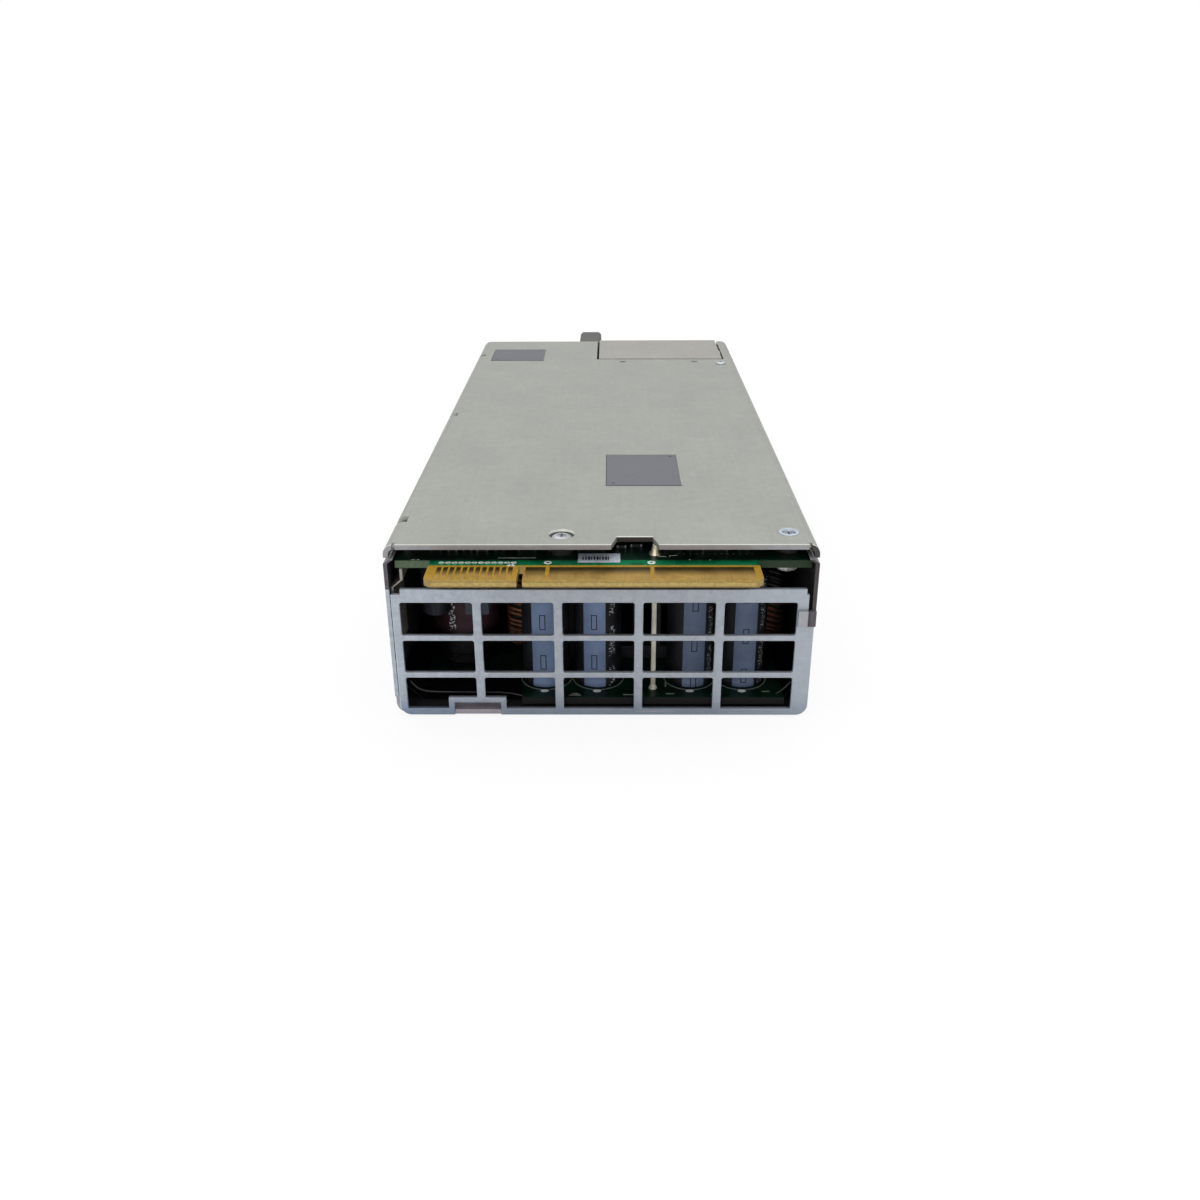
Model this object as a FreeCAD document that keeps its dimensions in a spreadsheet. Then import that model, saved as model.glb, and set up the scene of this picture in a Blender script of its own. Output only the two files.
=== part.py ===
import FreeCAD, Part
import math
import os
import Sketcher

# Hot-swap server power supply. Millimetres, +Z up, +X to the right seen from the card-edge end.
# The origin is the middle of the chassis floor's underside; the card edge points along -Y and
# the handle, the mains inlet and the fan look along +Y.

doc = FreeCAD.newDocument("PowerSupply")
sheet = doc.addObject("Spreadsheet::Sheet", "Dims")

DIMENSIONS = {
    # chassis, cover and panels
    "chassis_length": 195.0,
    "chassis_width": 86.0,
    "chassis_height": 38.0,
    "tray_sheet": 0.8,
    "cover_sheet": 1.0,
    "panel_sheet": 1.0,
    "tray_bend": 2.4,
    "cover_bend": 2.0,
    "cover_flange": 2.7,
    "cover_setback": 0.8,
    "cover_corner": 3.0,
    "rim_joggle": 0.8,
    "rim_corner": 0.5,
    "rim_setback": 6.0,
    "rim_height": 3.0,
    "seam_gap": 0.15,
    "panel_gap": 0.1,
    "hook_height": 3.4,
    "hook_reach": 3.6,
    "hook_level": 20.9,
    "hook_gap": 0.2,
    # cover details
    "cover_notch_width": 9.4,
    "cover_notch_depth": 4.2,
    "cover_notch_taper": 1.1,
    "cover_notch_shift": 6.7,
    "flap_width": 41.4,
    "flap_rise": 0.35,
    "slit_width": 0.7,
    "pry_hole_diameter": 2.0,
    "pry_hole_spacing": 23.5,
    "pry_hole_shift": 0.75,
    "pry_hole_gap": 3.4,
    "edge_slot_length": 3.4,
    "edge_slot_width": 1.5,
    "edge_slot_reach": 2.7,
    "edge_slot_1": 15.4,
    "edge_slot_2": 97.8,
    "edge_slot_3": 21.9,
    "lip_left": 2.1,
    "lip_right": 1.9,
    "lip_relief": 0.6,
    "lip_relief_depth": 1.3,
    # inlet grille
    "grille_height": 28.8,
    "grille_step_width": 1.9,
    "grille_step_height": 1.15,
    "grille_neck_side": 1.5,
    "grille_top_side": 2.0,
    "grille_edge_gap": 0.15,
    "window_height": 7.32,
    "window_width": 14.55,
    "window_row_bar": 1.2,
    "window_column_bar": 1.75,
    "window_top_bar": 2.96,
    "window_side_bar": 1.65,
    "window_corner": 0.3,
    "grille_relief": 4.4,
    "key_left": 31.9,
    "key_width": 12.05,
    "key_height": 4.1,
    "key_bar": 1.2,
    # cover screws
    "screw_head": 4.2,
    "screw_head_height": 1.3,
    "rear_head_height": 0.7,
    "rear_screw_length": 6.0,
    "screw_slot": 0.6,
    "screw_slot_depth": 0.4,
    "screw_shank": 2.5,
    "screw_clearance": 0.15,
    "dimple_top": 6.2,
    "dimple_bottom": 4.6,
    "front_screw_left": 7.95,
    "front_screw_left_depth": 6.75,
    "front_screw_right": 5.25,
    "front_screw_right_depth": 7.75,
    "rear_screw_side": 5.3,
    "rear_screw_depth": 35.6,
    "nut_width": 5.0,
    "nut_height": 2.4,
    # labels on the cover
    "label_thickness": 0.15,
    "front_label_width": 17.2,
    "front_label_length": 23.4,
    "front_label_shift": 9.4,
    "front_label_depth": 48.2,
    "rear_label_width": 17.6,
    "rear_label_length": 17.3,
    "rear_label_side": 13.95,
    "rear_label_depth": 22.1,
    # output board with the card edge
    "board_thickness": 1.6,
    "output_board_top": 34.2,
    "output_board_length": 40.0,
    "output_board_setback": 2.0,
    "board_side_gap": 0.3,
    "board_left_gap": 1.1,
    "tongue_left": 34.0,
    "tongue_right": 31.2,
    "tongue_tip": 7.9,
    "tongue_chamfer": 1.4,
    "contact_thickness": 0.06,
    "contact_length": 6.0,
    "contact_setback": 0.5,
    "signal_pitch": 1.27,
    "signal_width": 0.85,
    "signal_stagger": 1.2,
    "signal_start": 32.0,
    "key_slot_width": 1.1,
    "key_slot_depth": 6.9,
    "key_slot_shift": 15.55,
    "power_gap": 0.8,
    "power_pad_1": 3.9,
    "power_pad_2": 19.6,
    "power_pad_3": 19.4,
    "power_start": 14.7,
    "side_bracket_sheet": 0.6,
    "side_bracket_length": 11.0,
    "side_bracket_jog": 2.0,
    "side_bracket_foot": 14.0,
    # main board and what stands on it
    "main_board_top": 3.4,
    "main_board_setback": 1.4,
    "main_board_edge": 4.0,
    "main_board_cutout_width": 21.5,
    "main_board_cutout_length": 12.0,
    "film_thickness": 0.25,
    "film_setback": 4.6,
    "film_bend": 4.0,
    "film_height": 7.5,
    "boss_diameter": 5.6,
    "boss_bore": 2.2,
    "boss_side": 6.0,
    "boss_front_gap": 30.0,
    "boss_rear_gap": 26.0,
    "board_screw_head": 4.6,
    "board_screw_head_height": 1.4,
    "output_cap_diameter": 10.0,
    "output_cap_height": 25.5,
    "output_cap_depth": 10.1,
    "output_cap_1": -11.9,
    "output_cap_2": -0.8,
    "output_cap_3": 18.8,
    "output_cap_4": 29.8,
    "bus_pin_width": 1.0,
    "bus_pin_shift": 10.85,
    "bus_pin_depth": 5.6,
    "bus_pin_proud": 2.2,
    "choke_diameter": 24.0,
    "choke_bore": 10.0,
    "choke_core_width": 7.4,
    "choke_wire": 1.2,
    "choke_depth": 28.6,
    "choke_left": -16.0,
    "choke_right": 35.0,
    "filter_cap_diameter": 15.0,
    "filter_cap_height": 24.0,
    "filter_cap_shift": -30.5,
    "filter_cap_depth": 23.0,
    "rectifier_sink_length": 21.0,
    "rectifier_sink_width": 30.0,
    "rectifier_sink_height": 24.0,
    "rectifier_sink_base": 3.0,
    "rectifier_sink_shift": 7.5,
    "rectifier_sink_depth": 19.0,
    "fin_thickness": 1.4,
    "transformer_depth": 42.0,
    "transformer_width": 34.0,
    "transformer_length": 30.0,
    "transformer_height": 27.0,
    "transformer_shift": 9.0,
    "transformer_limb": 6.0,
    "transformer_yoke": 6.5,
    "winding_gap": 0.3,
    "resonant_cap_length": 18.0,
    "resonant_cap_width": 8.5,
    "resonant_cap_height": 16.0,
    "resonant_cap_shift": -32.0,
    "resonant_cap_depth": 52.0,
    "bulk_cap_diameter": 30.0,
    "bulk_cap_length": 48.0,
    "bulk_cap_shift": 21.5,
    "bulk_cap_depth": 86.0,
    "primary_sink_length": 46.0,
    "primary_sink_height": 27.0,
    "primary_sink_thickness": 3.0,
    "primary_sink_foot": 10.0,
    "primary_sink_shift": -6.0,
    "primary_sink_depth": 87.0,
    "transistor_width": 10.0,
    "transistor_height": 15.0,
    "transistor_thickness": 4.4,
    "transistor_pitch": 15.0,
    "transistor_lead_height": 5.0,
    "transistor_lead_pitch": 2.54,
    "transistor_lead": 0.8,
    "boost_choke_diameter": 26.0,
    "boost_choke_width": 11.0,
    "boost_choke_shift": -25.5,
    "boost_choke_depth": 104.0,
    "line_choke_diameter": 22.0,
    "line_choke_width": 9.0,
    "line_choke_shift": -26.0,
    "line_choke_rear": 62.0,
    "film_cap_length": 26.0,
    "film_cap_width": 9.5,
    "film_cap_height": 17.0,
    "film_cap_shift": -12.0,
    "film_cap_rear": 51.0,
    "relay_length": 20.0,
    "relay_width": 11.0,
    "relay_height": 16.0,
    "relay_shift": -31.5,
    "relay_rear": 48.0,
    "fuse_length": 20.0,
    "fuse_diameter": 5.2,
    "fuse_clip_width": 4.0,
    "fuse_clip_sheet": 0.6,
    "fuse_clip_rise": 1.5,
    "fuse_shift": 15.0,
    "fuse_rear": 49.5,
    "control_board_length": 44.0,
    "control_board_height": 24.0,
    "control_board_shift": -37.0,
    "control_board_depth": 76.0,
    # rear panel, handle and mains inlet
    "handle_width": 7.6,
    "handle_thickness": 3.0,
    "handle_reach": 22.5,
    "handle_shift": -5.5,
    "handle_bottom": 4.6,
    "handle_top_gap": 0.2,
    "handle_corner": 5.0,
    "handle_foot": 7.4,
    "handle_edge": 0.8,
    "handle_screw": 3.0,
    "inlet_shift": -25.6,
    "inlet_level": 19.0,
    "inlet_flange_width": 30.4,
    "inlet_flange_height": 23.4,
    "inlet_flange": 2.0,
    "inlet_body_width": 27.0,
    "inlet_body_height": 19.8,
    "inlet_body_depth": 18.0,
    "inlet_cavity_width": 24.4,
    "inlet_cavity_height": 16.8,
    "inlet_cavity_depth": 16.8,
    "inlet_corner": 4.0,
    "blade_width": 4.0,
    "blade_thickness": 2.0,
    "blade_length": 14.0,
    "blade_spacing": 14.0,
    "blade_offset": 2.0,
    "blade_tail": 7.0,
    "light_pipe_diameter": 3.0,
    "light_pipe_length": 12.0,
    "light_pipe_level": 34.2,
    "light_pipe_shift": -15.0,
    # fan
    "fan_size": 36.0,
    "fan_depth": 28.0,
    "fan_shift": 18.3,
    "fan_duct": 34.2,
    "fan_tip_gap": 0.6,
    "fan_hole_pitch": 30.5,
    "fan_hole": 2.7,
    "hub_diameter": 17.0,
    "hub_depth": 21.0,
    "hub_wall": 1.2,
    "hub_setback": 3.0,
    "fan_base_diameter": 16.0,
    "fan_base_thickness": 2.0,
    "strut_width": 2.6,
    "blade_chord": 9.0,
    "blade_rise": 9.0,
    "blade_sheet": 1.1,
    "shaft_diameter": 2.0,
    "shaft_clearance": 0.05,
    "bearing_wall": 1.3,
    "coil_diameter": 12.4,
    "coil_depth": 10.0,
    "guard_wire": 1.2,
    "guard_inner": 17.0,
    "guard_outer": 33.0,
    "guard_lug": 5.4,
    "fan_screw_head": 4.8,
    "fan_screw_head_height": 1.4,
    "fan_screw_bite": 6.0,
    # release latch
    "latch_pivot_rear": 45.0,
    "latch_pivot_side": 4.6,
    "latch_level": 14.0,
    "latch_height": 10.0,
    "latch_sheet": 1.6,
    "latch_wall_gap": 0.4,
    "latch_barrel": 4.6,
    "latch_pin_diameter": 2.0,
    "latch_pin_clearance": 0.05,
    "latch_jog_start": 4.5,
    "latch_jog_length": 4.0,
    "latch_tail": 10.5,
    "catch_rear": 15.0,
    "catch_length": 7.5,
    "catch_proud": 1.6,
    "catch_land": 2.0,
    "catch_slot_gap": 1.2,
    "latch_slot_travel": 3.4,
    "latch_slot_gap": 0.3,
    "thumb_length": 8.0,
    "thumb_height": 14.0,
    "bracket_sheet": 0.8,
    "bracket_reach": 6.2,
    "bracket_ahead": 5.0,
    "bracket_length": 8.6,
    "ear_gap": 0.3,
    "spring_height": 3.0,
    "spring_wire": 0.6,
    "spring_leg": 4.2,
    # fan lead
    "lead_diameter": 2.4,
    "lead_side": 3.6,
    "lead_level": 3.0,
    "lead_length": 8.0,
    "lead_plug": 7.0,
    "plug_height": 6.0,
}


class Size:
    """A length that carries its present value and its formula in the spreadsheet."""

    def __init__(self, value, formula):
        self.value = value
        self.formula = formula

    def joined(self, other, value, sign):
        return Size(value, f"({self.formula} {sign} {other.formula})")

    def __add__(self, other):
        other = as_size(other)
        return self.joined(other, self.value + other.value, "+")

    def __radd__(self, other):
        return as_size(other) + self

    def __sub__(self, other):
        other = as_size(other)
        return self.joined(other, self.value - other.value, "-")

    def __rsub__(self, other):
        return as_size(other) - self

    def __mul__(self, other):
        other = as_size(other)
        return self.joined(other, self.value * other.value, "*")

    def __rmul__(self, other):
        return as_size(other) * self

    def __truediv__(self, other):
        other = as_size(other)
        return self.joined(other, self.value / other.value, "/")

    def __neg__(self):
        return as_size(0) - self


def as_size(number):
    """A plain number as a Size; a Size as it is."""
    if isinstance(number, Size):
        return number
    if number < 0:
        return Size(float(number), f"(0 - {abs(number)})")
    return Size(float(number), f"{number}")


class Dimensions:
    """The spreadsheet's cells by name."""

    def __getattr__(self, name):
        return Size(DIMENSIONS[name], f"Dims.{name}")


def fill_sheet():
    """One row for each driving dimension: its name, and its value under an alias."""
    for row, (name, value) in enumerate(DIMENSIONS.items(), start=1):
        sheet.set(f"A{row}", name)
        sheet.set(f"B{row}", str(value))
        sheet.setAlias(f"B{row}", name)
    doc.recompute()


fill_sheet()
d = Dimensions()

# ---------------------------------------------------------------- shared places

half_width = d.chassis_width / 2
front = -d.chassis_length / 2
rear = d.chassis_length / 2
wall_inside = half_width - d.tray_sheet
cover_under = d.chassis_height - d.cover_sheet
panel_front = rear - d.panel_sheet
output_under = d.output_board_top - d.board_thickness
main_under = d.main_board_top - d.board_thickness
board_top = d.main_board_top
fan_level = d.tray_sheet + d.fan_size / 2
fan_front = panel_front - d.fan_depth
pivot_x = half_width - d.latch_pivot_side
pivot_y = rear - d.latch_pivot_rear
latch_outer = wall_inside - d.latch_wall_gap
latch_inner = latch_outer - d.latch_sheet

AXIS_TURN = {
    "x": FreeCAD.Rotation(FreeCAD.Vector(0, 1, 0), 90),
    "y": FreeCAD.Rotation(FreeCAD.Vector(1, 0, 0), -90),
    "z": FreeCAD.Rotation(),
}
MERGE = 0.2  # how deep a fused lug reaches into the piece that carries it
SIGNAL_FINGERS = 12
WINDOW_COLUMNS = 5
WINDOW_ROWS = 3
SINK_FINS = 7
FAN_BLADES = 7
CHOKE_TURNS = 12
BOOST_TURNS = 10
LINE_TURNS = 8
CORE_SIDES = 24
FASTENER_SIDES = 8
HOLE_SIDES = 12
HOLE_FLAT = round(math.cos(math.pi / HOLE_SIDES), 4)
RING_SIDES = 24
HEAD_SIDES = 16


# ---------------------------------------------------------------- helpers

def bind(item, **sizes):
    """Set each property and tie it to its formula."""
    for name, size in sizes.items():
        size = as_size(size)
        setattr(item, name, size.value)
        item.setExpression(name, size.formula)


def place(item, at, axis="z"):
    """Put an object's own origin at a point, with its Z axis along the named axis."""
    item.Placement = FreeCAD.Placement(FreeCAD.Vector(), AXIS_TURN[axis])
    for letter, size in zip("xyz", at):
        item.setExpression(f"Placement.Base.{letter}", as_size(size).formula)


def box(name, corner, size, maker=None):
    """A box from its low corner; maker is a body when the box is one of its features."""
    kind = "Part::Box" if maker is None else "PartDesign::AdditiveBox"
    item = doc.addObject(kind, name) if maker is None else maker.newObject(kind, name)
    bind(item, Length=size[0], Width=size[1], Height=size[2])
    place(item, corner)
    return item


def rod(name, base, radius, length, axis="z", maker=None):
    """A cylinder from the middle of its low end along an axis."""
    kind = "Part::Cylinder" if maker is None else "PartDesign::AdditiveCylinder"
    item = doc.addObject(kind, name) if maker is None else maker.newObject(kind, name)
    bind(item, Radius=radius, Height=length)
    place(item, base, axis)
    return item


def prism(name, base, radius, length, sides, axis="z", maker=None):
    """A regular prism from the middle of its low end; the radius reaches its corners."""
    kind = "Part::Prism" if maker is None else "PartDesign::AdditivePrism"
    item = doc.addObject(kind, name) if maker is None else maker.newObject(kind, name)
    item.Polygon = sides
    bind(item, Circumradius=radius, Height=length)
    place(item, base, axis)
    return item


def screw(name, point, radius, length, head_radius, head_height, axis="z", side=1):
    """A plain shank behind a point and its head in front of it, side giving the head's way."""
    letter = "xyz".index(axis)
    shank_at = list(point)
    head_at = list(point)
    shank_at[letter] = point[letter] - (length if side > 0 else MERGE)
    head_at[letter] = point[letter] - (0 if side > 0 else head_height)
    shank = prism(name + "_shank", shank_at, radius, length + MERGE, FASTENER_SIDES, axis)
    head = prism(name + "_head", head_at, head_radius, head_height, FASTENER_SIDES, axis)
    return fused(name, [shank, head])


def taper(name, base, low_radius, high_radius, length, axis="z"):
    """A cone frustum from the middle of its low end along an axis."""
    item = doc.addObject("Part::Cone", name)
    bind(item, Radius1=low_radius, Radius2=high_radius, Height=length)
    place(item, base, axis)
    return item


def cut_box(body, name, corner, size):
    item = body.newObject("PartDesign::SubtractiveBox", name)
    bind(item, Length=size[0], Width=size[1], Height=size[2])
    place(item, corner)
    return item


def cut_rod(body, name, base, radius, length, axis="z"):
    item = body.newObject("PartDesign::SubtractiveCylinder", name)
    bind(item, Radius=radius, Height=length)
    place(item, base, axis)
    return item


def cut_hole(body, name, base, radius, length, axis="z"):
    """A small hole for a fastener, its flats at the radius."""
    item = body.newObject("PartDesign::SubtractivePrism", name)
    item.Polygon = HOLE_SIDES
    bind(item, Circumradius=radius / HOLE_FLAT, Height=length)
    place(item, base, axis)
    return item


def new_body(label):
    body = doc.addObject("PartDesign::Body", "body_" + label)
    body.Label = label
    return body


def outline(body, name, plane, offset, loops):
    """A sketch on an origin plane, moved along that plane's world axis, with closed loops."""
    sketch = body.newObject("Sketcher::SketchObject", name)
    support = [item for item in body.Origin.OriginFeatures if item.Role == plane][0]
    sketch.AttachmentSupport = [(support, "")]
    sketch.MapMode = "FlatFace"
    offset = as_size(offset)
    shift = -offset if plane == "XZ_Plane" else offset
    sketch.setExpression("AttachmentOffset.Base.z", shift.formula)
    ties = []
    for points in loops:
        add_loop(sketch, points, ties)
    for index, size in ties:
        sketch.setExpression(f"Constraints[{index}]", size.formula)
    return sketch


def add_loop(sketch, points, ties):
    """A closed run of lines whose every corner is tied to the sheet."""
    points = [(as_size(across), as_size(up)) for across, up in points]
    first = sketch.GeometryCount
    corners = [FreeCAD.Vector(across.value, up.value, 0) for across, up in points]
    count = len(points)
    lines = [Part.LineSegment(corners[i], corners[(i + 1) % count]) for i in range(count)]
    sketch.addGeometry(lines, False)
    rules = []
    for i in range(count):
        rules.append(Sketcher.Constraint("Coincident", first + i, 2, first + (i + 1) % count, 1))
    base = sketch.ConstraintCount + count
    for i, (across, up) in enumerate(points):
        rules.append(Sketcher.Constraint("DistanceX", -1, 1, first + i, 1, across.value))
        rules.append(Sketcher.Constraint("DistanceY", -1, 1, first + i, 1, up.value))
        ties.append((base + 2 * i, across))
        ties.append((base + 2 * i + 1, up))
    sketch.addConstraint(rules)


def pad(body, sketch, length, plane):
    """Grow the outline along the plane's positive world axis."""
    item = body.newObject("PartDesign::Pad", sketch.Name + "_pad")
    item.Profile = sketch
    item.Reversed = plane == "XZ_Plane"
    bind(item, Length=length)
    return item


def pocket(body, sketch, length, plane):
    """Cut the outline along the plane's positive world axis."""
    item = body.newObject("PartDesign::Pocket", sketch.Name + "_cut")
    item.Profile = sketch
    item.Reversed = plane != "XZ_Plane"
    bind(item, Length=length)
    return item


def padded(label, plane, offset, points, length):
    """A new body made of one padded outline."""
    body = new_body(label)
    sketch = outline(body, label + "_outline", plane, offset, [points])
    pad(body, sketch, length, plane)
    return body


def rectangle(low_across, low_up, high_across, high_up):
    return [(low_across, low_up), (high_across, low_up), (high_across, high_up), (low_across, high_up)]


def soften(body, kind, size, test):
    """Fillet or Chamfer the edges of the body's tip that pass a test of the edge."""
    doc.recompute()
    tip = body.Tip
    names = [f"Edge{i}" for i, edge in enumerate(tip.Shape.Edges, start=1) if test(edge)]
    item = body.newObject("PartDesign::" + kind, body.Label + "_" + kind.lower())
    item.Base = (tip, names)
    if kind == "Fillet":
        bind(item, Radius=size)
    else:
        bind(item, Size=size)
    return item


def along(edge, direction):
    """True for a straight edge parallel to a unit vector."""
    ends = [vertex.Point for vertex in edge.Vertexes]
    if len(ends) != 2:
        return False
    run = ends[1] - ends[0]
    return run.cross(direction).Length < 1e-6 * max(run.Length, 1e-3) and run.Length > 1e-3


def near(point, x=None, y=None, z=None):
    """True where each coordinate that is given matches the point's."""
    pairs = [(x, point.x), (y, point.y), (z, point.z)]
    return all(abs(as_size(want).value - have) < 1e-3 for want, have in pairs if want is not None)


X_AXIS = FreeCAD.Vector(1, 0, 0)
Y_AXIS = FreeCAD.Vector(0, 1, 0)


def fused(label, pieces):
    """One solid, or a group of separate solids, from several pieces."""
    item = doc.addObject("Part::MultiFuse", "all_" + label)
    item.Shapes = pieces
    item.Refine = True
    item.Label = label
    return item


def group(label, pieces):
    """Several solids that stay separate in one node."""
    item = doc.addObject("Part::Compound", "all_" + label)
    item.Links = pieces
    item.Label = label
    return item


def trimmed(name, base, tools, label=None):
    """A solid less one or more others."""
    tool = tools[0]
    if len(tools) > 1:
        tool = doc.addObject("Part::MultiFuse", name + "_tools")
        tool.Shapes = tools
    item = doc.addObject("Part::Cut", name)
    item.Base = base
    item.Tool = tool
    item.Refine = True
    if label:
        item.Label = label
    return item


def labelled(item, label):
    item.Label = label
    return item


# ---------------------------------------------------------------- chassis, cover and panels

def chassis_tray():
    """Floor and side walls in one bent sheet, with joggled rims, a hook and the latch slot."""
    rim_start = d.chassis_height - d.cover_flange - d.seam_gap - d.rim_joggle
    rim_top = cover_under - d.seam_gap
    rim_outer = half_width - d.cover_sheet - d.seam_gap
    rim_inner = rim_outer - d.tray_sheet
    right = [
        (half_width, 0), (half_width, rim_start), (rim_outer, rim_start + d.rim_joggle),
        (rim_outer, rim_top - d.rim_corner), (rim_outer - d.rim_corner, rim_top), (rim_inner, rim_top),
        (rim_inner, rim_start + d.rim_joggle),
        (wall_inside, rim_start), (wall_inside, d.tray_sheet),
    ]
    left = [(-across, up) for across, up in reversed(right)]
    body = padded("chassis_tray", "XZ_Plane", front, right + left, d.chassis_length)
    soften(body, "Fillet", d.tray_bend, lambda e: along(e, Y_AXIS) and (
        near(e.CenterOfMass, x=half_width, z=0) or near(e.CenterOfMass, x=-half_width, z=0)))
    body.Tip.Label = "tray outer bends"
    soften(body, "Fillet", d.tray_bend - d.tray_sheet, lambda e: along(e, Y_AXIS) and (
        near(e.CenterOfMass, x=wall_inside, z=d.tray_sheet)
        or near(e.CenterOfMass, x=-wall_inside, z=d.tray_sheet)))
    seat_fronts(body)
    cut_rims(body, rim_start + d.rim_joggle, rim_inner)
    box("hook", (half_width - d.hook_reach, front - d.tray_sheet, d.hook_level),
        (d.hook_reach, d.tray_sheet, d.hook_height), body)
    catch_low = d.latch_level - d.catch_slot_gap
    cut_box(body, "catch_slot", (half_width - 3, rear - d.catch_rear - d.catch_length - d.catch_slot_gap,
            catch_low), (4, d.catch_length + d.catch_slot_gap * 2, d.latch_height + d.catch_slot_gap * 2))
    for index, (x, y) in enumerate(boss_places()):
        prism(f"standoff_{index}", (x, y, d.tray_sheet - MERGE), d.boss_diameter / 2,
              main_under - d.tray_sheet + MERGE, 6, maker=body)
        cut_hole(body, f"boss_bore_{index}", (x, y, -1), d.boss_bore / 2 + d.screw_clearance,
                main_under + 2)


def seat_fronts(body):
    """The floor, both bends and the right wall's lower edge stop behind the windowed plate."""
    deep = d.panel_sheet + 1
    cut_box(body, "grille_seat", (-half_width - 1, front - 1, -1),
            (d.chassis_width + 2, deep, d.grille_relief + 1))
    cut_box(body, "right_seat", (wall_inside - 1, front - 1, 0),
            (d.tray_sheet + 2, deep, d.hook_level - d.hook_gap / 2))


def cut_rims(body, low, inner):
    """Both rims start behind the lid's edge, and the left one is open below the lid's slots."""
    wide = d.tray_sheet + 1
    for index, start in enumerate([-inner - d.tray_sheet - 0.5, inner - 0.5]):
        cut_box(body, f"rim_end_{index}", (start, front - 1, low), (wide, d.rim_setback + 1, d.rim_height))
    for index, y in enumerate(edge_slot_places()):
        half = d.edge_slot_length / 2 + 0.2
        cut_box(body, f"rim_slot_{index}", (-inner - d.tray_sheet - 0.5, y - half, low),
                (wide, half * 2, d.rim_height))


def boss_places():
    """Where the four clinched standoffs of the floor carry the main board."""
    side = half_width - d.main_board_edge - d.boss_side
    near_end = front + d.main_board_cutout_length + d.boss_front_gap
    far_end = fan_front - d.boss_rear_gap
    return [(-side, near_end), (side, near_end), (-side, far_end), (side, far_end)]


def top_cover():
    """Lid with short side flanges, a finger notch, screw dimples and the raised flap over the fan."""
    outer = half_width
    inner = half_width - d.cover_sheet
    low = d.chassis_height - d.cover_flange
    start = front + d.cover_setback
    length = d.chassis_length - d.cover_setback
    points = [
        (outer, low), (outer, d.chassis_height), (-outer, d.chassis_height), (-outer, low),
        (-inner, low), (-inner, cover_under), (inner, cover_under), (inner, low),
    ]
    body = padded("lid_sheet", "XZ_Plane", start, points, length)
    soften(body, "Fillet", d.cover_bend, lambda e: along(e, Y_AXIS) and (
        near(e.CenterOfMass, x=outer, z=d.chassis_height)
        or near(e.CenterOfMass, x=-outer, z=d.chassis_height)))
    soften(body, "Fillet", d.cover_bend - d.cover_sheet, lambda e: along(e, Y_AXIS) and (
        near(e.CenterOfMass, x=inner, z=cover_under) or near(e.CenterOfMass, x=-inner, z=cover_under)))
    notch_front(body, start)
    fan_flap(body)
    corner_cuts(body)
    edge_slots(body)
    cover_dimples(body)


def notch_front(body, start):
    """The notch for a finger or a key in the middle of the lid's front edge."""
    left = d.cover_notch_shift - d.cover_notch_width / 2
    right = d.cover_notch_shift + d.cover_notch_width / 2
    deep = start + d.cover_notch_depth
    points = [(left, start - 1), (right, start - 1), (right, start), (right - d.cover_notch_taper, deep),
              (left + d.cover_notch_taper, deep), (left, start)]
    sketch = outline(body, "front_notch", "XY_Plane", cover_under - 1, [points])
    pocket(body, sketch, d.cover_sheet + 2, "XY_Plane")


def fan_flap(body):
    """The lid stands a little higher over the fan, between two slits."""
    left = d.fan_shift - d.flap_width / 2
    length = rear - fan_front
    box("flap", (left, fan_front, d.chassis_height - MERGE),
        (d.flap_width, length, d.flap_rise + MERGE), body)
    cut_box(body, "flap_under", (left, fan_front, cover_under - 1),
            (d.flap_width, length + 1, d.flap_rise + 1))
    for index, x in enumerate([left, left + d.flap_width]):
        cut_box(body, f"slit_{index}", (x - d.slit_width / 2, fan_front, cover_under - 1),
                (d.slit_width, length + 1, d.cover_sheet + d.flap_rise + 2))
        side = d.pry_hole_spacing / 2 * (2 * index - 1)
        x = d.fan_shift - d.pry_hole_shift + side
        cut_hole(body, f"pry_hole_{index}", (x, fan_front - d.pry_hole_gap, cover_under - 1),
                d.pry_hole_diameter / 2, d.cover_sheet + 2)


def corner_cuts(body):
    """The two far corners of the lid are clipped."""
    for index, side in enumerate([-1, 1]):
        tip = half_width * side
        points = [(tip + side, rear - d.cover_corner), (tip, rear - d.cover_corner),
                  (tip - d.cover_corner * 0.3 * side, rear - d.cover_corner * 0.3),
                  (tip - d.cover_corner * side, rear), (tip - d.cover_corner * side, rear + 1),
                  (tip + side, rear + 1)]
        sketch = outline(body, f"corner_{index}", "XY_Plane", 0, [points])
        pocket(body, sketch, d.chassis_height + 1, "XY_Plane")


def edge_slot_places():
    """Where the three slots of the left bend are along the lid."""
    return [front + d.edge_slot_1, front + d.edge_slot_2, rear - d.edge_slot_3]


def edge_slots(body):
    """Three slots in the left bend, and a short relief at each end of the lid's front edge."""
    for index, y in enumerate(edge_slot_places()):
        cut_box(body, f"edge_slot_{index}", (-half_width - 1, y - d.edge_slot_length / 2,
                d.chassis_height - d.edge_slot_width),
                (d.edge_slot_reach + 1, d.edge_slot_length, d.edge_slot_width + 1))
    start = front + d.cover_setback
    for index, x in enumerate([d.lip_left - half_width, half_width - d.lip_right]):
        cut_box(body, f"lip_relief_{index}", (x - d.lip_relief / 2, start - 1, cover_under - 1),
                (d.lip_relief, d.lip_relief_depth + 1, d.cover_sheet + 2))


def screw_places():
    """The two front screws and the rear one, as seen from above."""
    return [
        (-d.front_screw_left, front + d.front_screw_left_depth),
        (half_width - d.front_screw_right, front + d.front_screw_right_depth),
        (half_width - d.rear_screw_side, rear - d.rear_screw_depth),
    ]


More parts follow.
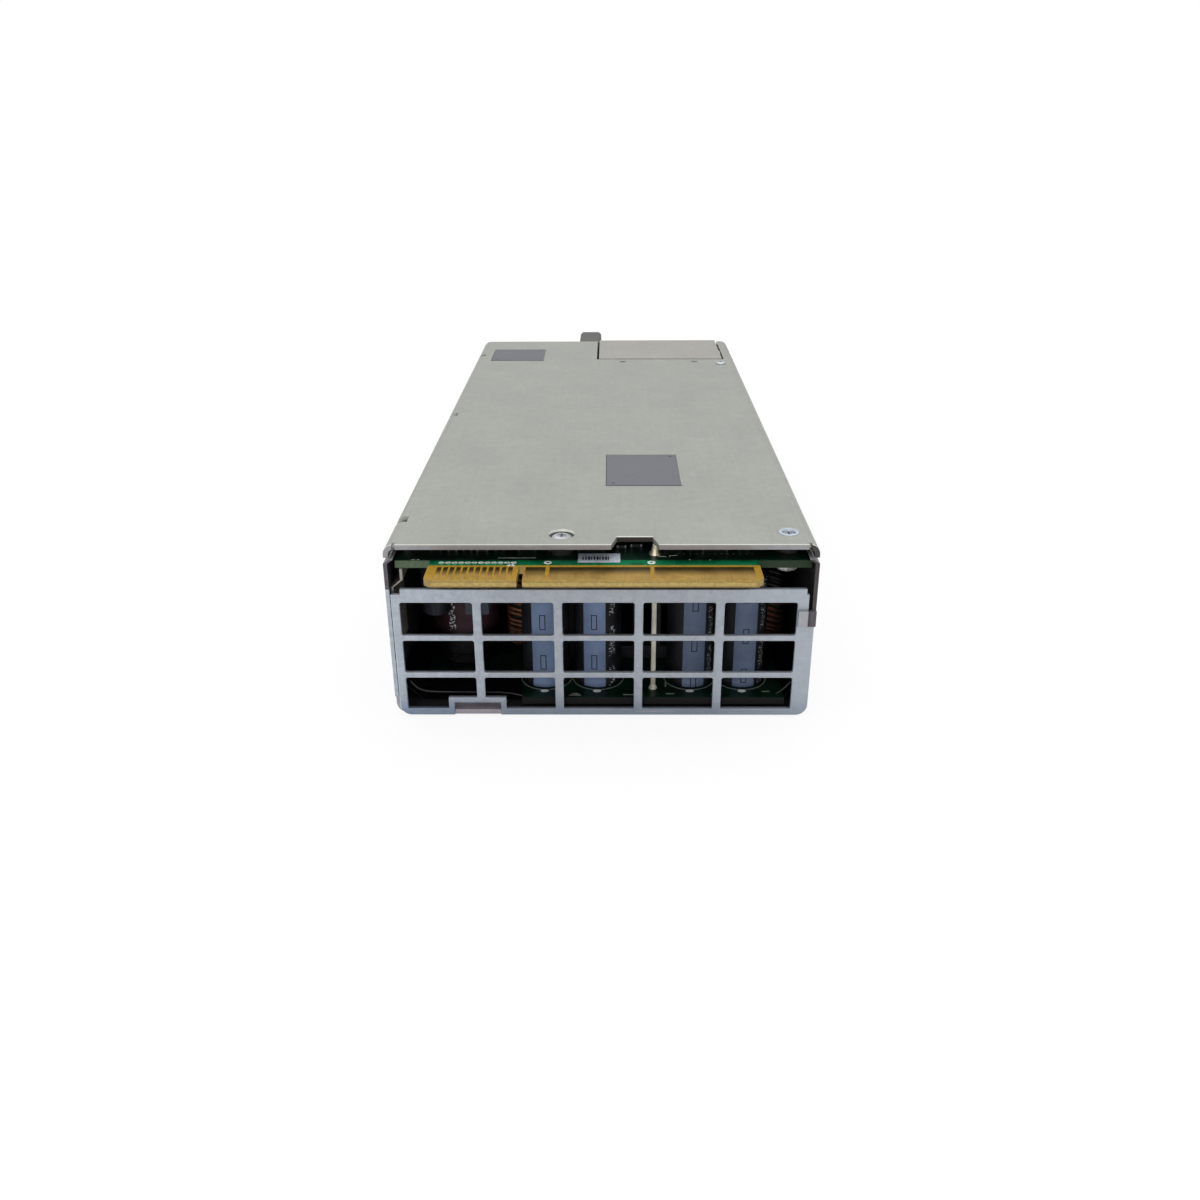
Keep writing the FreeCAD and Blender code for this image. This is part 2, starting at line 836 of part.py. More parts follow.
def cover_dimples(body):
    """Both front screws sit in a pressed dimple that reaches down to the output board."""
    pieces = [body]
    bores = []
    for index, (x, y) in enumerate(screw_places()):
        bore = d.screw_shank / 2 + d.screw_clearance
        deep = d.chassis_height - d.output_board_top + 2
        bores.append(prism(f"lid_bore_{index}", (x, y, d.output_board_top - 1), bore / HOLE_FLAT, deep,
                           HOLE_SIDES))
        if index < 2:
            drop = cover_under - d.output_board_top
            pieces.append(taper(f"dimple_{index}", (x, y, d.output_board_top), d.dimple_bottom / 2,
                                d.dimple_top / 2, drop + MERGE))
            sink = d.screw_head_height + MERGE
            bores.append(taper(f"dimple_sink_{index}", (x, y, d.chassis_height - sink),
                               d.screw_head / 2 + d.screw_clearance, d.dimple_top / 2 - 0.4, sink))
    solid = fused("top_cover_blank", pieces)
    trimmed("top_cover_cut", solid, bores, "top_cover")


def inlet_grille():
    """The windowed plate that closes the card-edge end below the output board."""
    left = d.panel_gap - wall_inside
    right = half_width - d.grille_edge_gap
    neck = half_width - d.grille_neck_side
    top_right = half_width - d.grille_top_side
    neck_z = d.hook_level - d.hook_gap
    step_z = d.grille_height - d.grille_step_height
    points = [(left, 0), (right, 0), (right, neck_z), (neck, neck_z), (neck, step_z), (top_right, step_z),
              (top_right, d.grille_height), (left + d.grille_step_width, d.grille_height),
              (left + d.grille_step_width, step_z), (left, step_z)]
    body = padded("inlet_grille", "XZ_Plane", front, points, d.panel_sheet)
    soften(body, "Fillet", d.tray_bend, lambda e: along(e, Y_AXIS) and near(e.CenterOfMass, z=0))
    for row in range(WINDOW_ROWS):
        top = d.grille_height - d.window_top_bar - (d.window_height + d.window_row_bar) * row
        pitch = d.window_width + d.window_column_bar
        starts = [left + d.window_side_bar + pitch * i for i in range(WINDOW_COLUMNS)]
        loops = [rectangle(start, top - d.window_height, start + d.window_width, top) for start in starts]
        sketch = outline(body, f"windows_{row}", "XZ_Plane", front - 1, loops)
        pocket(body, sketch, d.panel_sheet + 2, "XZ_Plane")
    box("key_bar", (-d.key_left, front, 0), (d.key_width, d.panel_sheet, d.key_height), body)
    cut_box(body, "key_notch", (-d.key_left + d.key_bar, front - 1, -1),
            (d.key_width - d.key_bar * 2, d.panel_sheet + 2, d.key_height - d.key_bar + 1))
    low_z = as_size(d.key_height).value + 0.01
    high_z = as_size(d.grille_height - d.window_top_bar).value + 0.01
    side_x = as_size(-left - d.window_side_bar).value + 0.01
    soften(body, "Chamfer", d.window_corner, lambda e: along(e, Y_AXIS) and
           low_z < e.CenterOfMass.z < high_z and abs(e.CenterOfMass.x) < side_x)


def rear_panel():
    """The panel that carries the mains inlet, the handle, the fan and the latch slot."""
    wide = wall_inside - d.panel_gap
    top = cover_under - d.panel_gap
    rim = wide - d.cover_sheet - d.rim_joggle
    rim_start = d.chassis_height - d.cover_flange - d.seam_gap - d.rim_joggle * 2
    points = [(-wide, d.tray_sheet), (wide, d.tray_sheet), (wide, rim_start), (rim, rim_start), (rim, top),
              (-rim, top), (-rim, rim_start), (-wide, rim_start)]
    body = padded("rear_panel", "XZ_Plane", panel_front, points, d.panel_sheet)
    soften(body, "Chamfer", d.tray_bend - d.tray_sheet, lambda e: along(e, Y_AXIS) and (
        near(e.CenterOfMass, x=wide, z=d.tray_sheet) or near(e.CenterOfMass, x=-wide, z=d.tray_sheet)))
    deep = d.panel_sheet + 2
    start = panel_front - 1
    cut_box(body, "inlet_cutout", (d.inlet_shift - d.inlet_body_width / 2 - d.seam_gap, start,
            d.inlet_level - d.inlet_body_height / 2 - d.seam_gap),
            (d.inlet_body_width + d.seam_gap * 2, deep, d.inlet_body_height + d.seam_gap * 2))
    cut_rod(body, "fan_cutout", (d.fan_shift, start, fan_level), d.fan_duct / 2 - 0.4, deep, "y")
    for index, (x, z) in enumerate(fan_holes()):
        cut_hole(body, f"fan_hole_{index}", (x, start, z), d.fan_hole / 2 + d.screw_clearance, deep, "y")
    for index, z in enumerate(handle_screw_levels()):
        cut_hole(body, f"handle_hole_{index}", (d.handle_shift, start, z),
                d.handle_screw / 2 + d.screw_clearance, deep, "y")
    cut_box(body, "latch_slot", (latch_inner - d.latch_slot_travel, start, d.latch_level - d.latch_slot_gap),
            (latch_outer + d.latch_slot_gap - latch_inner + d.latch_slot_travel, deep,
             d.latch_height + d.latch_slot_gap * 2))
    cut_hole(body, "light_hole", (d.light_pipe_shift, start, d.light_pipe_level),
            d.light_pipe_diameter / 2 + d.screw_clearance, deep, "y")


def fan_holes():
    """The four corners of the fan's screw pattern."""
    reach = d.fan_hole_pitch / 2
    return [(d.fan_shift + reach * i, fan_level + reach * j) for i in (-1, 1) for j in (-1, 1)]


def handle_screw_levels():
    """Heights of the two screws in the handle's feet."""
    top = d.chassis_height - d.handle_top_gap
    return [d.handle_bottom + d.handle_foot / 2, top - d.handle_foot / 2 - 0.4]


def cover_screws():
    """Pan-head screws: two through the lid and the output board, one at the back."""
    pieces = []
    for index, (x, y) in enumerate(screw_places()):
        seat = d.chassis_height - d.screw_head_height - MERGE if index < 2 else d.chassis_height
        length = seat - output_under + d.nut_height if index < 2 else d.rear_screw_length
        shank = prism(f"lid_shank_{index}", (x, y, seat - length), d.screw_shank / 2, length + MERGE,
                      FASTENER_SIDES)
        height = d.screw_head_height if index < 2 else d.rear_head_height
        head = prism(f"lid_head_{index}", (x, y, seat), d.screw_head / 2, height, HEAD_SIDES)
        level = seat + height - d.screw_slot_depth
        long = d.screw_head * 0.6
        thin = d.screw_slot
        slot = box(f"lid_slot_{index}", (x - long / 2, y - thin / 2, level), (long, thin, 1))
        cross = box(f"lid_cross_{index}", (x - thin / 2, y - long / 2, level), (thin, long, 1))
        whole = fused(f"lid_screw_{index}", [shank, head])
        pieces.append(trimmed(f"lid_screw_cut_{index}", whole, [slot, cross]))
    group("cover_screws", pieces)


def board_nuts():
    """Clinch nuts under the output board that the two front screws drive into."""
    pieces = []
    for index, (x, y) in enumerate(screw_places()[:2]):
        low = output_under - d.nut_height
        nut = prism(f"nut_blank_{index}", (x, y, low), d.nut_width / 2, d.nut_height, 6)
        bore = prism(f"nut_bore_{index}", (x, y, low - 1), d.screw_shank / 2 + 0.05, d.nut_height + 2,
                     FASTENER_SIDES)
        pieces.append(trimmed(f"nut_{index}", nut, [bore]))
    group("board_nuts", pieces)


def cover_labels():
    """Two blank stickers on the lid."""
    box_at = d.chassis_height
    front_label = box("front_sticker", (d.front_label_shift - d.front_label_width / 2,
                      front + d.front_label_depth - d.front_label_length / 2, box_at),
                      (d.front_label_width, d.front_label_length, d.label_thickness))
    rear_label = box("rear_sticker", (-half_width + d.rear_label_side - d.rear_label_width / 2,
                     rear - d.rear_label_depth - d.rear_label_length / 2, box_at),
                     (d.rear_label_width, d.rear_label_length, d.label_thickness))
    group("cover_labels", [front_label, rear_label])


# ---------------------------------------------------------------- output board and its contacts

def output_board():
    """The upper board, whose narrow tongue is the card edge."""
    wide = wall_inside - d.board_side_gap
    left = d.board_left_gap - wall_inside
    shoulder = front + d.output_board_setback
    tip = front - d.tongue_tip
    c = d.tongue_chamfer
    points = [
        (left, shoulder), (-d.tongue_left, shoulder), (-d.tongue_left, tip + c), (-d.tongue_left + c, tip),
        (d.tongue_right - c, tip), (d.tongue_right, tip + c), (d.tongue_right, shoulder), (wide, shoulder),
        (wide, shoulder + d.output_board_length), (left, shoulder + d.output_board_length),
    ]
    body = padded("output_board", "XY_Plane", output_under, points, d.board_thickness)
    soften(body, "Chamfer", 0.4, lambda e: along(e, X_AXIS) and near(e.CenterOfMass, y=tip))
    cut_box(body, "key_slot", (-d.key_slot_shift - d.key_slot_width / 2, tip - 1, output_under - 1),
            (d.key_slot_width, d.key_slot_depth + 1, d.board_thickness + 2))
    for index, (x, y) in enumerate(screw_places()[:2]):
        cut_hole(body, f"output_bore_{index}", (x, y, output_under - 1),
                d.screw_shank / 2 + d.screw_clearance, d.board_thickness + 2)
    half = d.bus_pin_width / 2 + 0.1
    cut_box(body, "pin_hole", (d.bus_pin_shift - half, front + d.bus_pin_depth - half, output_under - 1),
            (half * 2, half * 2, d.board_thickness + 2))


def contact_pads(prefix, left, width, start, length):
    """One contact above and one below the tongue."""
    levels = [d.output_board_top, output_under - d.contact_thickness]
    return [box(f"{prefix}_{side}", (left, start, level), (width, length, d.contact_thickness))
            for side, level in zip(["top", "under"], levels)]


def signal_contacts():
    """A row of narrow fingers whose tips alternate."""
    pieces = []
    for index in range(SIGNAL_FINGERS):
        left = -d.signal_start + d.signal_pitch * index
        short = d.signal_stagger if index % 2 else as_size(0)
        start = front - d.tongue_tip + d.contact_setback + short
        pieces += contact_pads(f"signal_{index}", left, d.signal_width, start, d.contact_length - short)
    group("signal_contacts", pieces)


def power_contacts():
    """Three broad pads for the output current."""
    pieces = []
    left = -d.power_start
    for index, width in enumerate([d.power_pad_1, d.power_pad_2, d.power_pad_3]):
        start = front - d.tongue_tip + d.contact_setback
        pieces += contact_pads(f"power_{index}", left, width, start, d.contact_length)
        left = left + width + d.power_gap
    group("power_contacts", pieces)


def side_bracket():
    """A joggled sheet on the left wall that the output board's corner rests on."""
    outer = -wall_inside
    inner = outer + d.side_bracket_sheet
    shift = d.side_bracket_jog
    knee = output_under - d.side_bracket_jog * 2
    points = [
        (outer, d.side_bracket_foot), (inner, d.side_bracket_foot), (inner, knee),
        (inner + shift, knee + shift * 0.8), (inner + shift, output_under),
        (outer + shift, output_under), (outer + shift, knee + shift * 0.8), (outer, knee),
    ]
    padded("side_bracket", "XZ_Plane", front + d.panel_sheet + 0.5, points, d.side_bracket_length)


# ---------------------------------------------------------------- main board

def board_side():
    return wall_inside - d.main_board_edge


def main_board():
    """The lower board: cut away at the front left, and reaching under the mains inlet."""
    side = board_side()
    near_end = front + d.main_board_setback
    cut_x = -side + d.main_board_cutout_width
    cut_y = near_end + d.main_board_cutout_length
    fan_left = d.fan_shift - d.fan_size / 2 - 1
    points = [
        (-side, cut_y), (cut_x, cut_y), (cut_x, near_end), (side, near_end), (side, fan_front - 1),
        (fan_left, fan_front - 1), (fan_left, panel_front - 2), (-side, panel_front - 2),
    ]
    body = padded("main_board", "XY_Plane", main_under, points, d.board_thickness)
    for index, (x, y) in enumerate(boss_places()):
        cut_hole(body, f"main_bore_{index}", (x, y, main_under - 1), d.boss_bore / 2 + d.screw_clearance,
                d.board_thickness + 2)


def board_screws():
    """Four screws through the main board into the floor's bosses."""
    pieces = []
    for index, (x, y) in enumerate(boss_places()):
        pieces.append(screw(f"board_screw_{index}", (x, y, board_top), d.boss_bore / 2,
                            board_top - d.screw_clearance, d.board_screw_head / 2,
                            d.board_screw_head_height))
    group("board_screws", pieces)


def insulator_film():
    """Black film on the floor, turned up along both walls."""
    outer = wall_inside - 0.1
    inner = outer - d.film_thickness
    low = d.tray_sheet
    points = [
        (-outer, low), (outer, low), (outer, d.film_height), (inner, d.film_height),
        (inner, low + d.film_thickness), (-inner, low + d.film_thickness), (-inner, d.film_height),
        (-outer, d.film_height),
    ]
    length = fan_front - front - d.film_setback - 1
    body = padded("insulator_film", "XZ_Plane", front + d.film_setback, points, length)
    soften(body, "Chamfer", d.film_bend + d.film_thickness, lambda e: along(e, Y_AXIS) and
           near(e.CenterOfMass, z=low) and abs(e.CenterOfMass.x) > 1)
    soften(body, "Chamfer", d.film_bend, lambda e: along(e, Y_AXIS) and
           near(e.CenterOfMass, z=low + d.film_thickness) and abs(e.CenterOfMass.x) > 1)
    for index, (x, y) in enumerate(boss_places()):
        half = d.boss_diameter / 2 + 0.3
        cut_box(body, f"film_hole_{index}", (x - half, y - half, low - 1), (half * 2, half * 2, 3))


def upright_capacitor(label, x, y, diameter, height):
    """A radial capacitor standing on the main board."""
    labelled(rod(label + "_can", (x, y, board_top), diameter / 2, height), label)


def capacitors():
    shifts = [d.output_cap_1, d.output_cap_2, d.output_cap_3, d.output_cap_4]
    for index, shift in enumerate(shifts, start=1):
        upright_capacitor(f"output_capacitor_{index}", shift, front + d.output_cap_depth,
                          d.output_cap_diameter, d.output_cap_height)
    upright_capacitor("filter_capacitor", d.filter_cap_shift, front + d.filter_cap_depth,
                      d.filter_cap_diameter, d.filter_cap_height)


def bus_pin():
    """The square pin that carries the output current up to the output board."""
    half = d.bus_pin_width / 2
    foot = box("pin_foot", (d.bus_pin_shift - half * 2, front + d.bus_pin_depth - half * 2, board_top),
               (d.bus_pin_width * 2, d.bus_pin_width * 2, 0.5))
    length = d.output_board_top - board_top + d.bus_pin_proud
    pin = box("pin_shank", (d.bus_pin_shift - half, front + d.bus_pin_depth - half, board_top),
              (d.bus_pin_width, d.bus_pin_width, length))
    fused("bus_pin", [foot, pin])


def toroid(prefix, x, y, diameter, width, turns):
    """A powder core standing on edge, and the wire wound round it."""
    centre = (x, y, board_top + diameter / 2 + d.choke_wire)
    half = width / 2
    bore = d.choke_bore / 2
    ring = prism(prefix + "_disc", (x - half, y, centre[2]), diameter / 2 - 0.05, width, CORE_SIDES, "x")
    hole = prism(prefix + "_hole", (x - half - 1, y, centre[2]), bore + 0.1, width + 2, CORE_SIDES, "x")
    trimmed(prefix + "_annulus", ring, [hole], prefix + "_core")
    body = new_body(prefix + "_winding")
    body.AllowCompound = True
    wire = d.choke_wire
    loops = [rectangle(-half - wire, bore - wire, half + wire, diameter / 2 + wire),
             rectangle(-half, bore, half, diameter / 2)]
    sketch = outline(body, prefix + "_turn", "XY_Plane", -wire / 2, loops)
    turn = pad(body, sketch, wire, "XY_Plane")
    spread = body.newObject("PartDesign::PolarPattern", prefix + "_turns")
    spread.Originals = [turn]
    spread.Axis = ([item for item in body.Origin.OriginFeatures if item.Role == "X_Axis"][0], [""])
    spread.Angle = 360
    spread.Occurrences = turns
    body.Tip = spread
    for letter, size in zip("xyz", centre):
        body.setExpression(f"Placement.Base.{letter}", as_size(size).formula)


def chokes():
    for prefix, x in [("left_choke", d.choke_left), ("right_choke", d.choke_right)]:
        toroid(prefix, x, front + d.choke_depth, d.choke_diameter, d.choke_core_width, CHOKE_TURNS)
    toroid("boost_choke", d.boost_choke_shift, front + d.boost_choke_depth, d.boost_choke_diameter,
           d.boost_choke_width, BOOST_TURNS)
    toroid("line_choke", d.line_choke_shift, rear - d.line_choke_rear, d.line_choke_diameter,
           d.line_choke_width, LINE_TURNS)


def rectifier_heatsink():
    """A finned extrusion whose fins follow the air stream."""
    left = d.rectifier_sink_shift - d.rectifier_sink_width / 2
    start = front + d.rectifier_sink_depth
    base = box("sink_base", (left, start, board_top),
               (d.rectifier_sink_width, d.rectifier_sink_length, d.rectifier_sink_base))
    pitch = (d.rectifier_sink_width - d.fin_thickness) / (SINK_FINS - 1)
    size = (d.fin_thickness, d.rectifier_sink_length, d.rectifier_sink_height)
    fins = [box(f"sink_fin_{i}", (left + pitch * i, start, board_top), size) for i in range(SINK_FINS)]
    fused("rectifier_heatsink", [base] + fins)


def transistor(name, face, start, side):
    """A TO-220 package with three leads, lying against an upright face."""
    low = board_top + d.transistor_lead_height
    left = face if side > 0 else face - d.transistor_thickness
    block = box(name + "_block", (left, start, low),
                (d.transistor_thickness, d.transistor_width, d.transistor_height))
    lead = d.transistor_lead
    middle = left + d.transistor_thickness / 2 - lead / 2
    first = start + d.transistor_width / 2 - lead / 2 - d.transistor_lead_pitch
    leads = [box(f"{name}_lead_{i}", (middle, first + d.transistor_lead_pitch * i, board_top),
                 (lead, lead, low - board_top + MERGE)) for i in range(3)]
    return fused(name, [block] + leads)


def output_transistors():
    face = d.rectifier_sink_shift + d.rectifier_sink_width / 2
    start = front + d.rectifier_sink_depth + 1
    step = d.transistor_width + 2
    group("output_transistors", [transistor(f"rectifier_{i}", face, start + step * i, 1) for i in range(2)])


def primary_heatsink():
    """An upright plate with a foot, cooling the switching transistors."""
    left = d.primary_sink_shift - d.primary_sink_thickness / 2
    right = left + d.primary_sink_thickness
    top = board_top + d.primary_sink_height
    step = board_top + d.primary_sink_thickness
    points = [(left, board_top), (right + d.primary_sink_foot, board_top),
              (right + d.primary_sink_foot, step), (right, step), (right, top), (left, top)]
    padded("primary_heatsink", "XZ_Plane", front + d.primary_sink_depth, points, d.primary_sink_length)


def power_transistors():
    face = d.primary_sink_shift - d.primary_sink_thickness / 2
    start = front + d.primary_sink_depth + 3
    pieces = [transistor(f"switch_{i}", face, start + d.transistor_pitch * i, -1) for i in range(3)]
    group("power_transistors", pieces)


def transformer():
    """Two E cores round a winding that shows at both sides."""
    left = d.transformer_shift - d.transformer_width / 2
    right = left + d.transformer_width
    start = front + d.transformer_depth
    end = start + d.transformer_length
    low = board_top + 1
    high = low + d.transformer_height - 1
    core = box("core_block", (left, start, low), (d.transformer_width, d.transformer_length, high - low))
    room_start = start + d.transformer_yoke
    room_length = end - start - d.transformer_yoke * 2
    middle = d.transformer_limb
    rooms = [
        box("left_room", (left + d.transformer_limb, room_start, low - 1),
            (d.transformer_width / 2 - d.transformer_limb - middle, room_length, high - low + 2)),
        box("right_room", (d.transformer_shift + middle, room_start, low - 1),
            (d.transformer_width / 2 - d.transformer_limb - middle, room_length, high - low + 2)),
    ]
    trimmed("core_cut", core, rooms, "transformer_core")
    g = d.winding_gap
    coil = box("coil_block", (left + d.transformer_limb + g, room_start + g, low - 1),
               (d.transformer_width - d.transformer_limb * 2 - g * 2, room_length - g * 2, high - low + 2))
    limb = box("coil_bore", (d.transformer_shift - middle - g, room_start - 1, low - 2),
               (middle * 2 + g * 2, room_length + 2, high - low + 4))
    sides = trimmed("coil_sides", coil, [limb])
    labelled(sides, "transformer_winding")


def block_part(label, x, y, width, length, height):
    """A potted component standing on the main board."""
    labelled(box(label + "_block", (x - width / 2, y, board_top), (width, length, height)), label)


def potted_parts():
    block_part("resonant_capacitor", d.resonant_cap_shift, front + d.resonant_cap_depth,
               d.resonant_cap_width, d.resonant_cap_length, d.resonant_cap_height)
    block_part("line_capacitor", d.film_cap_shift, rear - d.film_cap_rear, d.film_cap_width,
               d.film_cap_length, d.film_cap_height)
    block_part("inrush_relay", d.relay_shift, rear - d.relay_rear, d.relay_width, d.relay_length,
               d.relay_height)
    block_part("control_board", d.control_board_shift, front + d.control_board_depth,
               d.board_thickness, d.control_board_length, d.control_board_height)


def bulk_capacitor():
    """The mains reservoir capacitor, lying along the air stream."""
    can = rod("bulk_can", (d.bulk_cap_shift, front + d.bulk_cap_depth, board_top + d.bulk_cap_diameter / 2),
              d.bulk_cap_diameter / 2, d.bulk_cap_length, "y")
    labelled(can, "bulk_capacitor")


def line_fuse():
    """A cartridge fuse in two clips."""
    start = rear - d.fuse_rear
    level = board_top + d.fuse_diameter / 2 + 1
    tube = prism("fuse_tube", (d.fuse_shift, start, level), d.fuse_diameter / 2, d.fuse_length, 16, "y")
    labelled(tube, "line_fuse")
    inner = d.fuse_diameter / 2 + 0.05
    outer = inner + d.fuse_clip_sheet
    grip = level + d.fuse_clip_rise
    cup = [(d.fuse_shift + side, up) for side, up in [
        (-outer, board_top), (outer, board_top), (outer, grip), (inner, grip),
        (inner, level - inner), (-inner, level - inner), (-inner, grip), (-outer, grip)]]
    ends = [start + 1, start + d.fuse_length - d.fuse_clip_width - 1]
    clips = [padded(f"clip_{index}", "XZ_Plane", y, cup, d.fuse_clip_width) for index, y in enumerate(ends)]
    group("fuse_clips", clips)


# ---------------------------------------------------------------- handle and mains inlet

def pull_handle():
    """A rounded D handle standing upright on the rear panel."""
    top = d.chassis_height - d.handle_top_gap
    low = d.handle_bottom
    wall = d.handle_thickness
    out = rear + d.handle_reach
    points = [
        (rear, low), (out, low), (out, top), (rear, top), (rear, top - d.handle_foot),
        (rear + wall, top - d.handle_foot), (rear + wall, top - wall), (out - wall, top - wall),
        (out - wall, low + wall), (rear + wall, low + wall), (rear + wall, low + d.handle_foot),
        (rear, low + d.handle_foot),
    ]
    left = d.handle_shift - d.handle_width / 2
    body = padded("pull_handle", "YZ_Plane", left, points, d.handle_width)
    soften(body, "Fillet", d.handle_corner, lambda e: along(e, X_AXIS) and near(e.CenterOfMass, y=out))
    soften(body, "Fillet", d.handle_corner - d.handle_thickness, lambda e: along(e, X_AXIS) and
           near(e.CenterOfMass, y=out - wall))
    right = left + d.handle_width
    soften(body, "Chamfer", d.handle_edge, lambda e: e.CenterOfMass.y > as_size(rear + wall + 0.1).value
           and (near(e.CenterOfMass, x=left) or near(e.CenterOfMass, x=right)))
    for index, z in enumerate(handle_screw_levels()):
        cut_hole(body, f"handle_bore_{index}", (d.handle_shift, rear - 1, z), d.handle_screw / 2 + 0.05,
                wall + 0.6, "y")


def handle_screws():
    pieces = []
    for index, z in enumerate(handle_screw_levels()):
        pieces.append(screw(f"handle_screw_{index}", (d.handle_shift, panel_front, z),
                            d.handle_screw / 2, d.panel_sheet + d.handle_thickness - 0.6,
                            d.handle_screw * 0.9, 1.4, "y", -1))
    group("handle_screws", pieces)


def inlet_housing():
    """The mains inlet: a flange, a body through the panel, and the six-sided cavity."""
    low = d.inlet_level - d.inlet_flange_height / 2
    face = rear + d.inlet_flange
    left = d.inlet_shift - d.inlet_flange_width / 2
    points = rectangle(left, low, left + d.inlet_flange_width, low + d.inlet_flange_height)
    body = padded("inlet_housing", "XZ_Plane", rear, points, d.inlet_flange)
    soften(body, "Chamfer", 0.6, lambda e: near(e.CenterOfMass, y=face))
    box("inlet_body", (d.inlet_shift - d.inlet_body_width / 2, panel_front - d.inlet_body_depth,
        d.inlet_level - d.inlet_body_height / 2),
        (d.inlet_body_width, d.inlet_body_depth + d.panel_sheet + MERGE, d.inlet_body_height), body)
    half = d.inlet_cavity_width / 2
    base = d.inlet_level - d.inlet_cavity_height / 2
    top = base + d.inlet_cavity_height
    corner = d.inlet_corner
    room = [(d.inlet_shift - half, base), (d.inlet_shift + half, base), (d.inlet_shift + half, top - corner),
            (d.inlet_shift + half - corner, top), (d.inlet_shift - half + corner, top),
            (d.inlet_shift - half, top - corner)]
    sketch = outline(body, "inlet_cavity", "XZ_Plane", face - d.inlet_cavity_depth, [room])
    pocket(body, sketch, d.inlet_cavity_depth + 1, "XZ_Plane")
    for index, (x, z) in enumerate(blade_places()):
        gap = 0.05
        cut_box(body, f"blade_slot_{index}", (x - d.blade_thickness / 2 - gap,
                panel_front - d.inlet_body_depth - 1, z - d.blade_width / 2 - gap),
                (d.blade_thickness + gap * 2, d.inlet_body_depth, d.blade_width + gap * 2))


def blade_places():
    """Centres of the line, neutral and earth blades."""
    side = d.blade_spacing / 2
    return [(d.inlet_shift - side, d.inlet_level - d.blade_offset),
            (d.inlet_shift + side, d.inlet_level - d.blade_offset),
            (d.inlet_shift + 0, d.inlet_level + d.blade_offset)]


def inlet_blades():
    """Three flat blades that end in tails behind the housing."""
    start = panel_front - d.inlet_body_depth - d.blade_tail
    end = rear + d.inlet_flange - d.inlet_cavity_depth + d.blade_length
    pieces = [box(f"blade_{i}", (x - d.blade_thickness / 2, start, z - d.blade_width / 2),
                  (d.blade_thickness, end - start, d.blade_width)) for i, (x, z) in enumerate(blade_places())]
    group("inlet_blades", pieces)


def light_pipe():
    """The clear pin that brings the status light to the panel."""
    start = rear + 0.8 - d.light_pipe_length
    pipe = rod("light_rod", (d.light_pipe_shift, start, d.light_pipe_level), d.light_pipe_diameter / 2,
               d.light_pipe_length, "y")
    labelled(pipe, "light_pipe")


# ---------------------------------------------------------------- fan

def fan_frame():
    """Square frame with a round duct, and the motor base on four struts."""
    left = d.fan_shift - d.fan_size / 2
    low = d.tray_sheet
    body = padded("fan_frame", "XZ_Plane", fan_front,
                  rectangle(left, low, left + d.fan_size, low + d.fan_size), d.fan_depth)
    cut_rod(body, "duct", (d.fan_shift, fan_front - 1, fan_level), d.fan_duct / 2, d.fan_depth + 2, "y")
    base_y = panel_front - d.fan_base_thickness
    rod("motor_base", (d.fan_shift, base_y, fan_level), d.fan_base_diameter / 2, d.fan_base_thickness,
        "y", body)
    reach = d.fan_duct / 2 + MERGE
    box("level_strut", (d.fan_shift - reach, base_y, fan_level - d.strut_width / 2),
        (reach * 2, d.fan_base_thickness, d.strut_width), body)
    box("upright_strut", (d.fan_shift - d.strut_width / 2, base_y, fan_level - reach),
        (d.strut_width, d.fan_base_thickness, reach * 2), body)
    for index, (x, z) in enumerate(fan_holes()):
        cut_hole(body, f"frame_hole_{index}", (x, fan_front - 1, z), d.fan_hole / 2, d.fan_depth + 2, "y")


def fan_stator():
    """The bearing tube and the coil block inside the rotor's hub."""
    bore = d.shaft_diameter / 2 + d.shaft_clearance
    tube_start = fan_front + d.hub_setback + d.hub_wall + 1
    base_y = panel_front - d.fan_base_thickness
    tube = prism("bearing_tube", (d.fan_shift, tube_start, fan_level), bore + d.bearing_wall,
                 base_y - tube_start, HOLE_SIDES, "y")
    coil = prism("coil_stack", (d.fan_shift, tube_start + 4, fan_level), d.coil_diameter / 2,
                 d.coil_depth, 8, "y")
    hole = rod("bearing_bore", (d.fan_shift, tube_start - 1, fan_level), bore, d.fan_depth, "y")
    trimmed("stator_cut", fused("stator_blank", [tube, coil]), [hole], "fan_stator")


def fan_rotor():
    """The hub cup with its pitched blades."""
    body = new_body("fan_rotor")
    hub = d.hub_diameter / 2
    rod("hub_cup", (0, 0, 0), hub, d.hub_depth, "y", body)
    cut_rod(body, "hub_room", (0, d.hub_wall, 0), hub - d.hub_wall, d.hub_depth, "y")
    tip = d.fan_duct / 2 - d.fan_tip_gap - 0.9
    root = hub - d.hub_wall / 2
    across = d.blade_chord / 2
    deep = d.blade_rise / 2
    thick = d.blade_sheet / 2
    middle = d.hub_depth / 2
    points = [(-across - thick, middle - deep), (-across + thick, middle - deep),
              (across + thick, middle + deep), (across - thick, middle + deep)]
    blade = pad(body, outline(body, "blade", "XY_Plane", root, [points]), tip - root, "XY_Plane")
    spread = body.newObject("PartDesign::PolarPattern", "blades")
    spread.Originals = [blade]
    spread.Axis = ([item for item in body.Origin.OriginFeatures if item.Role == "Y_Axis"][0], [""])
    spread.Angle = 360
    spread.Occurrences = FAN_BLADES
    body.Tip = spread
    for letter, size in zip("xyz", (d.fan_shift, fan_front + d.hub_setback, fan_level)):
        body.setExpression(f"Placement.Base.{letter}", size.formula)


def fan_shaft():
    start = fan_front + d.hub_setback + d.hub_wall
    length = d.fan_depth - d.hub_setback - d.hub_wall - d.fan_base_thickness - 1
    shaft = rod("shaft_rod", (d.fan_shift, start, fan_level), d.shaft_diameter / 2, length, "y")
    labelled(shaft, "fan_shaft")


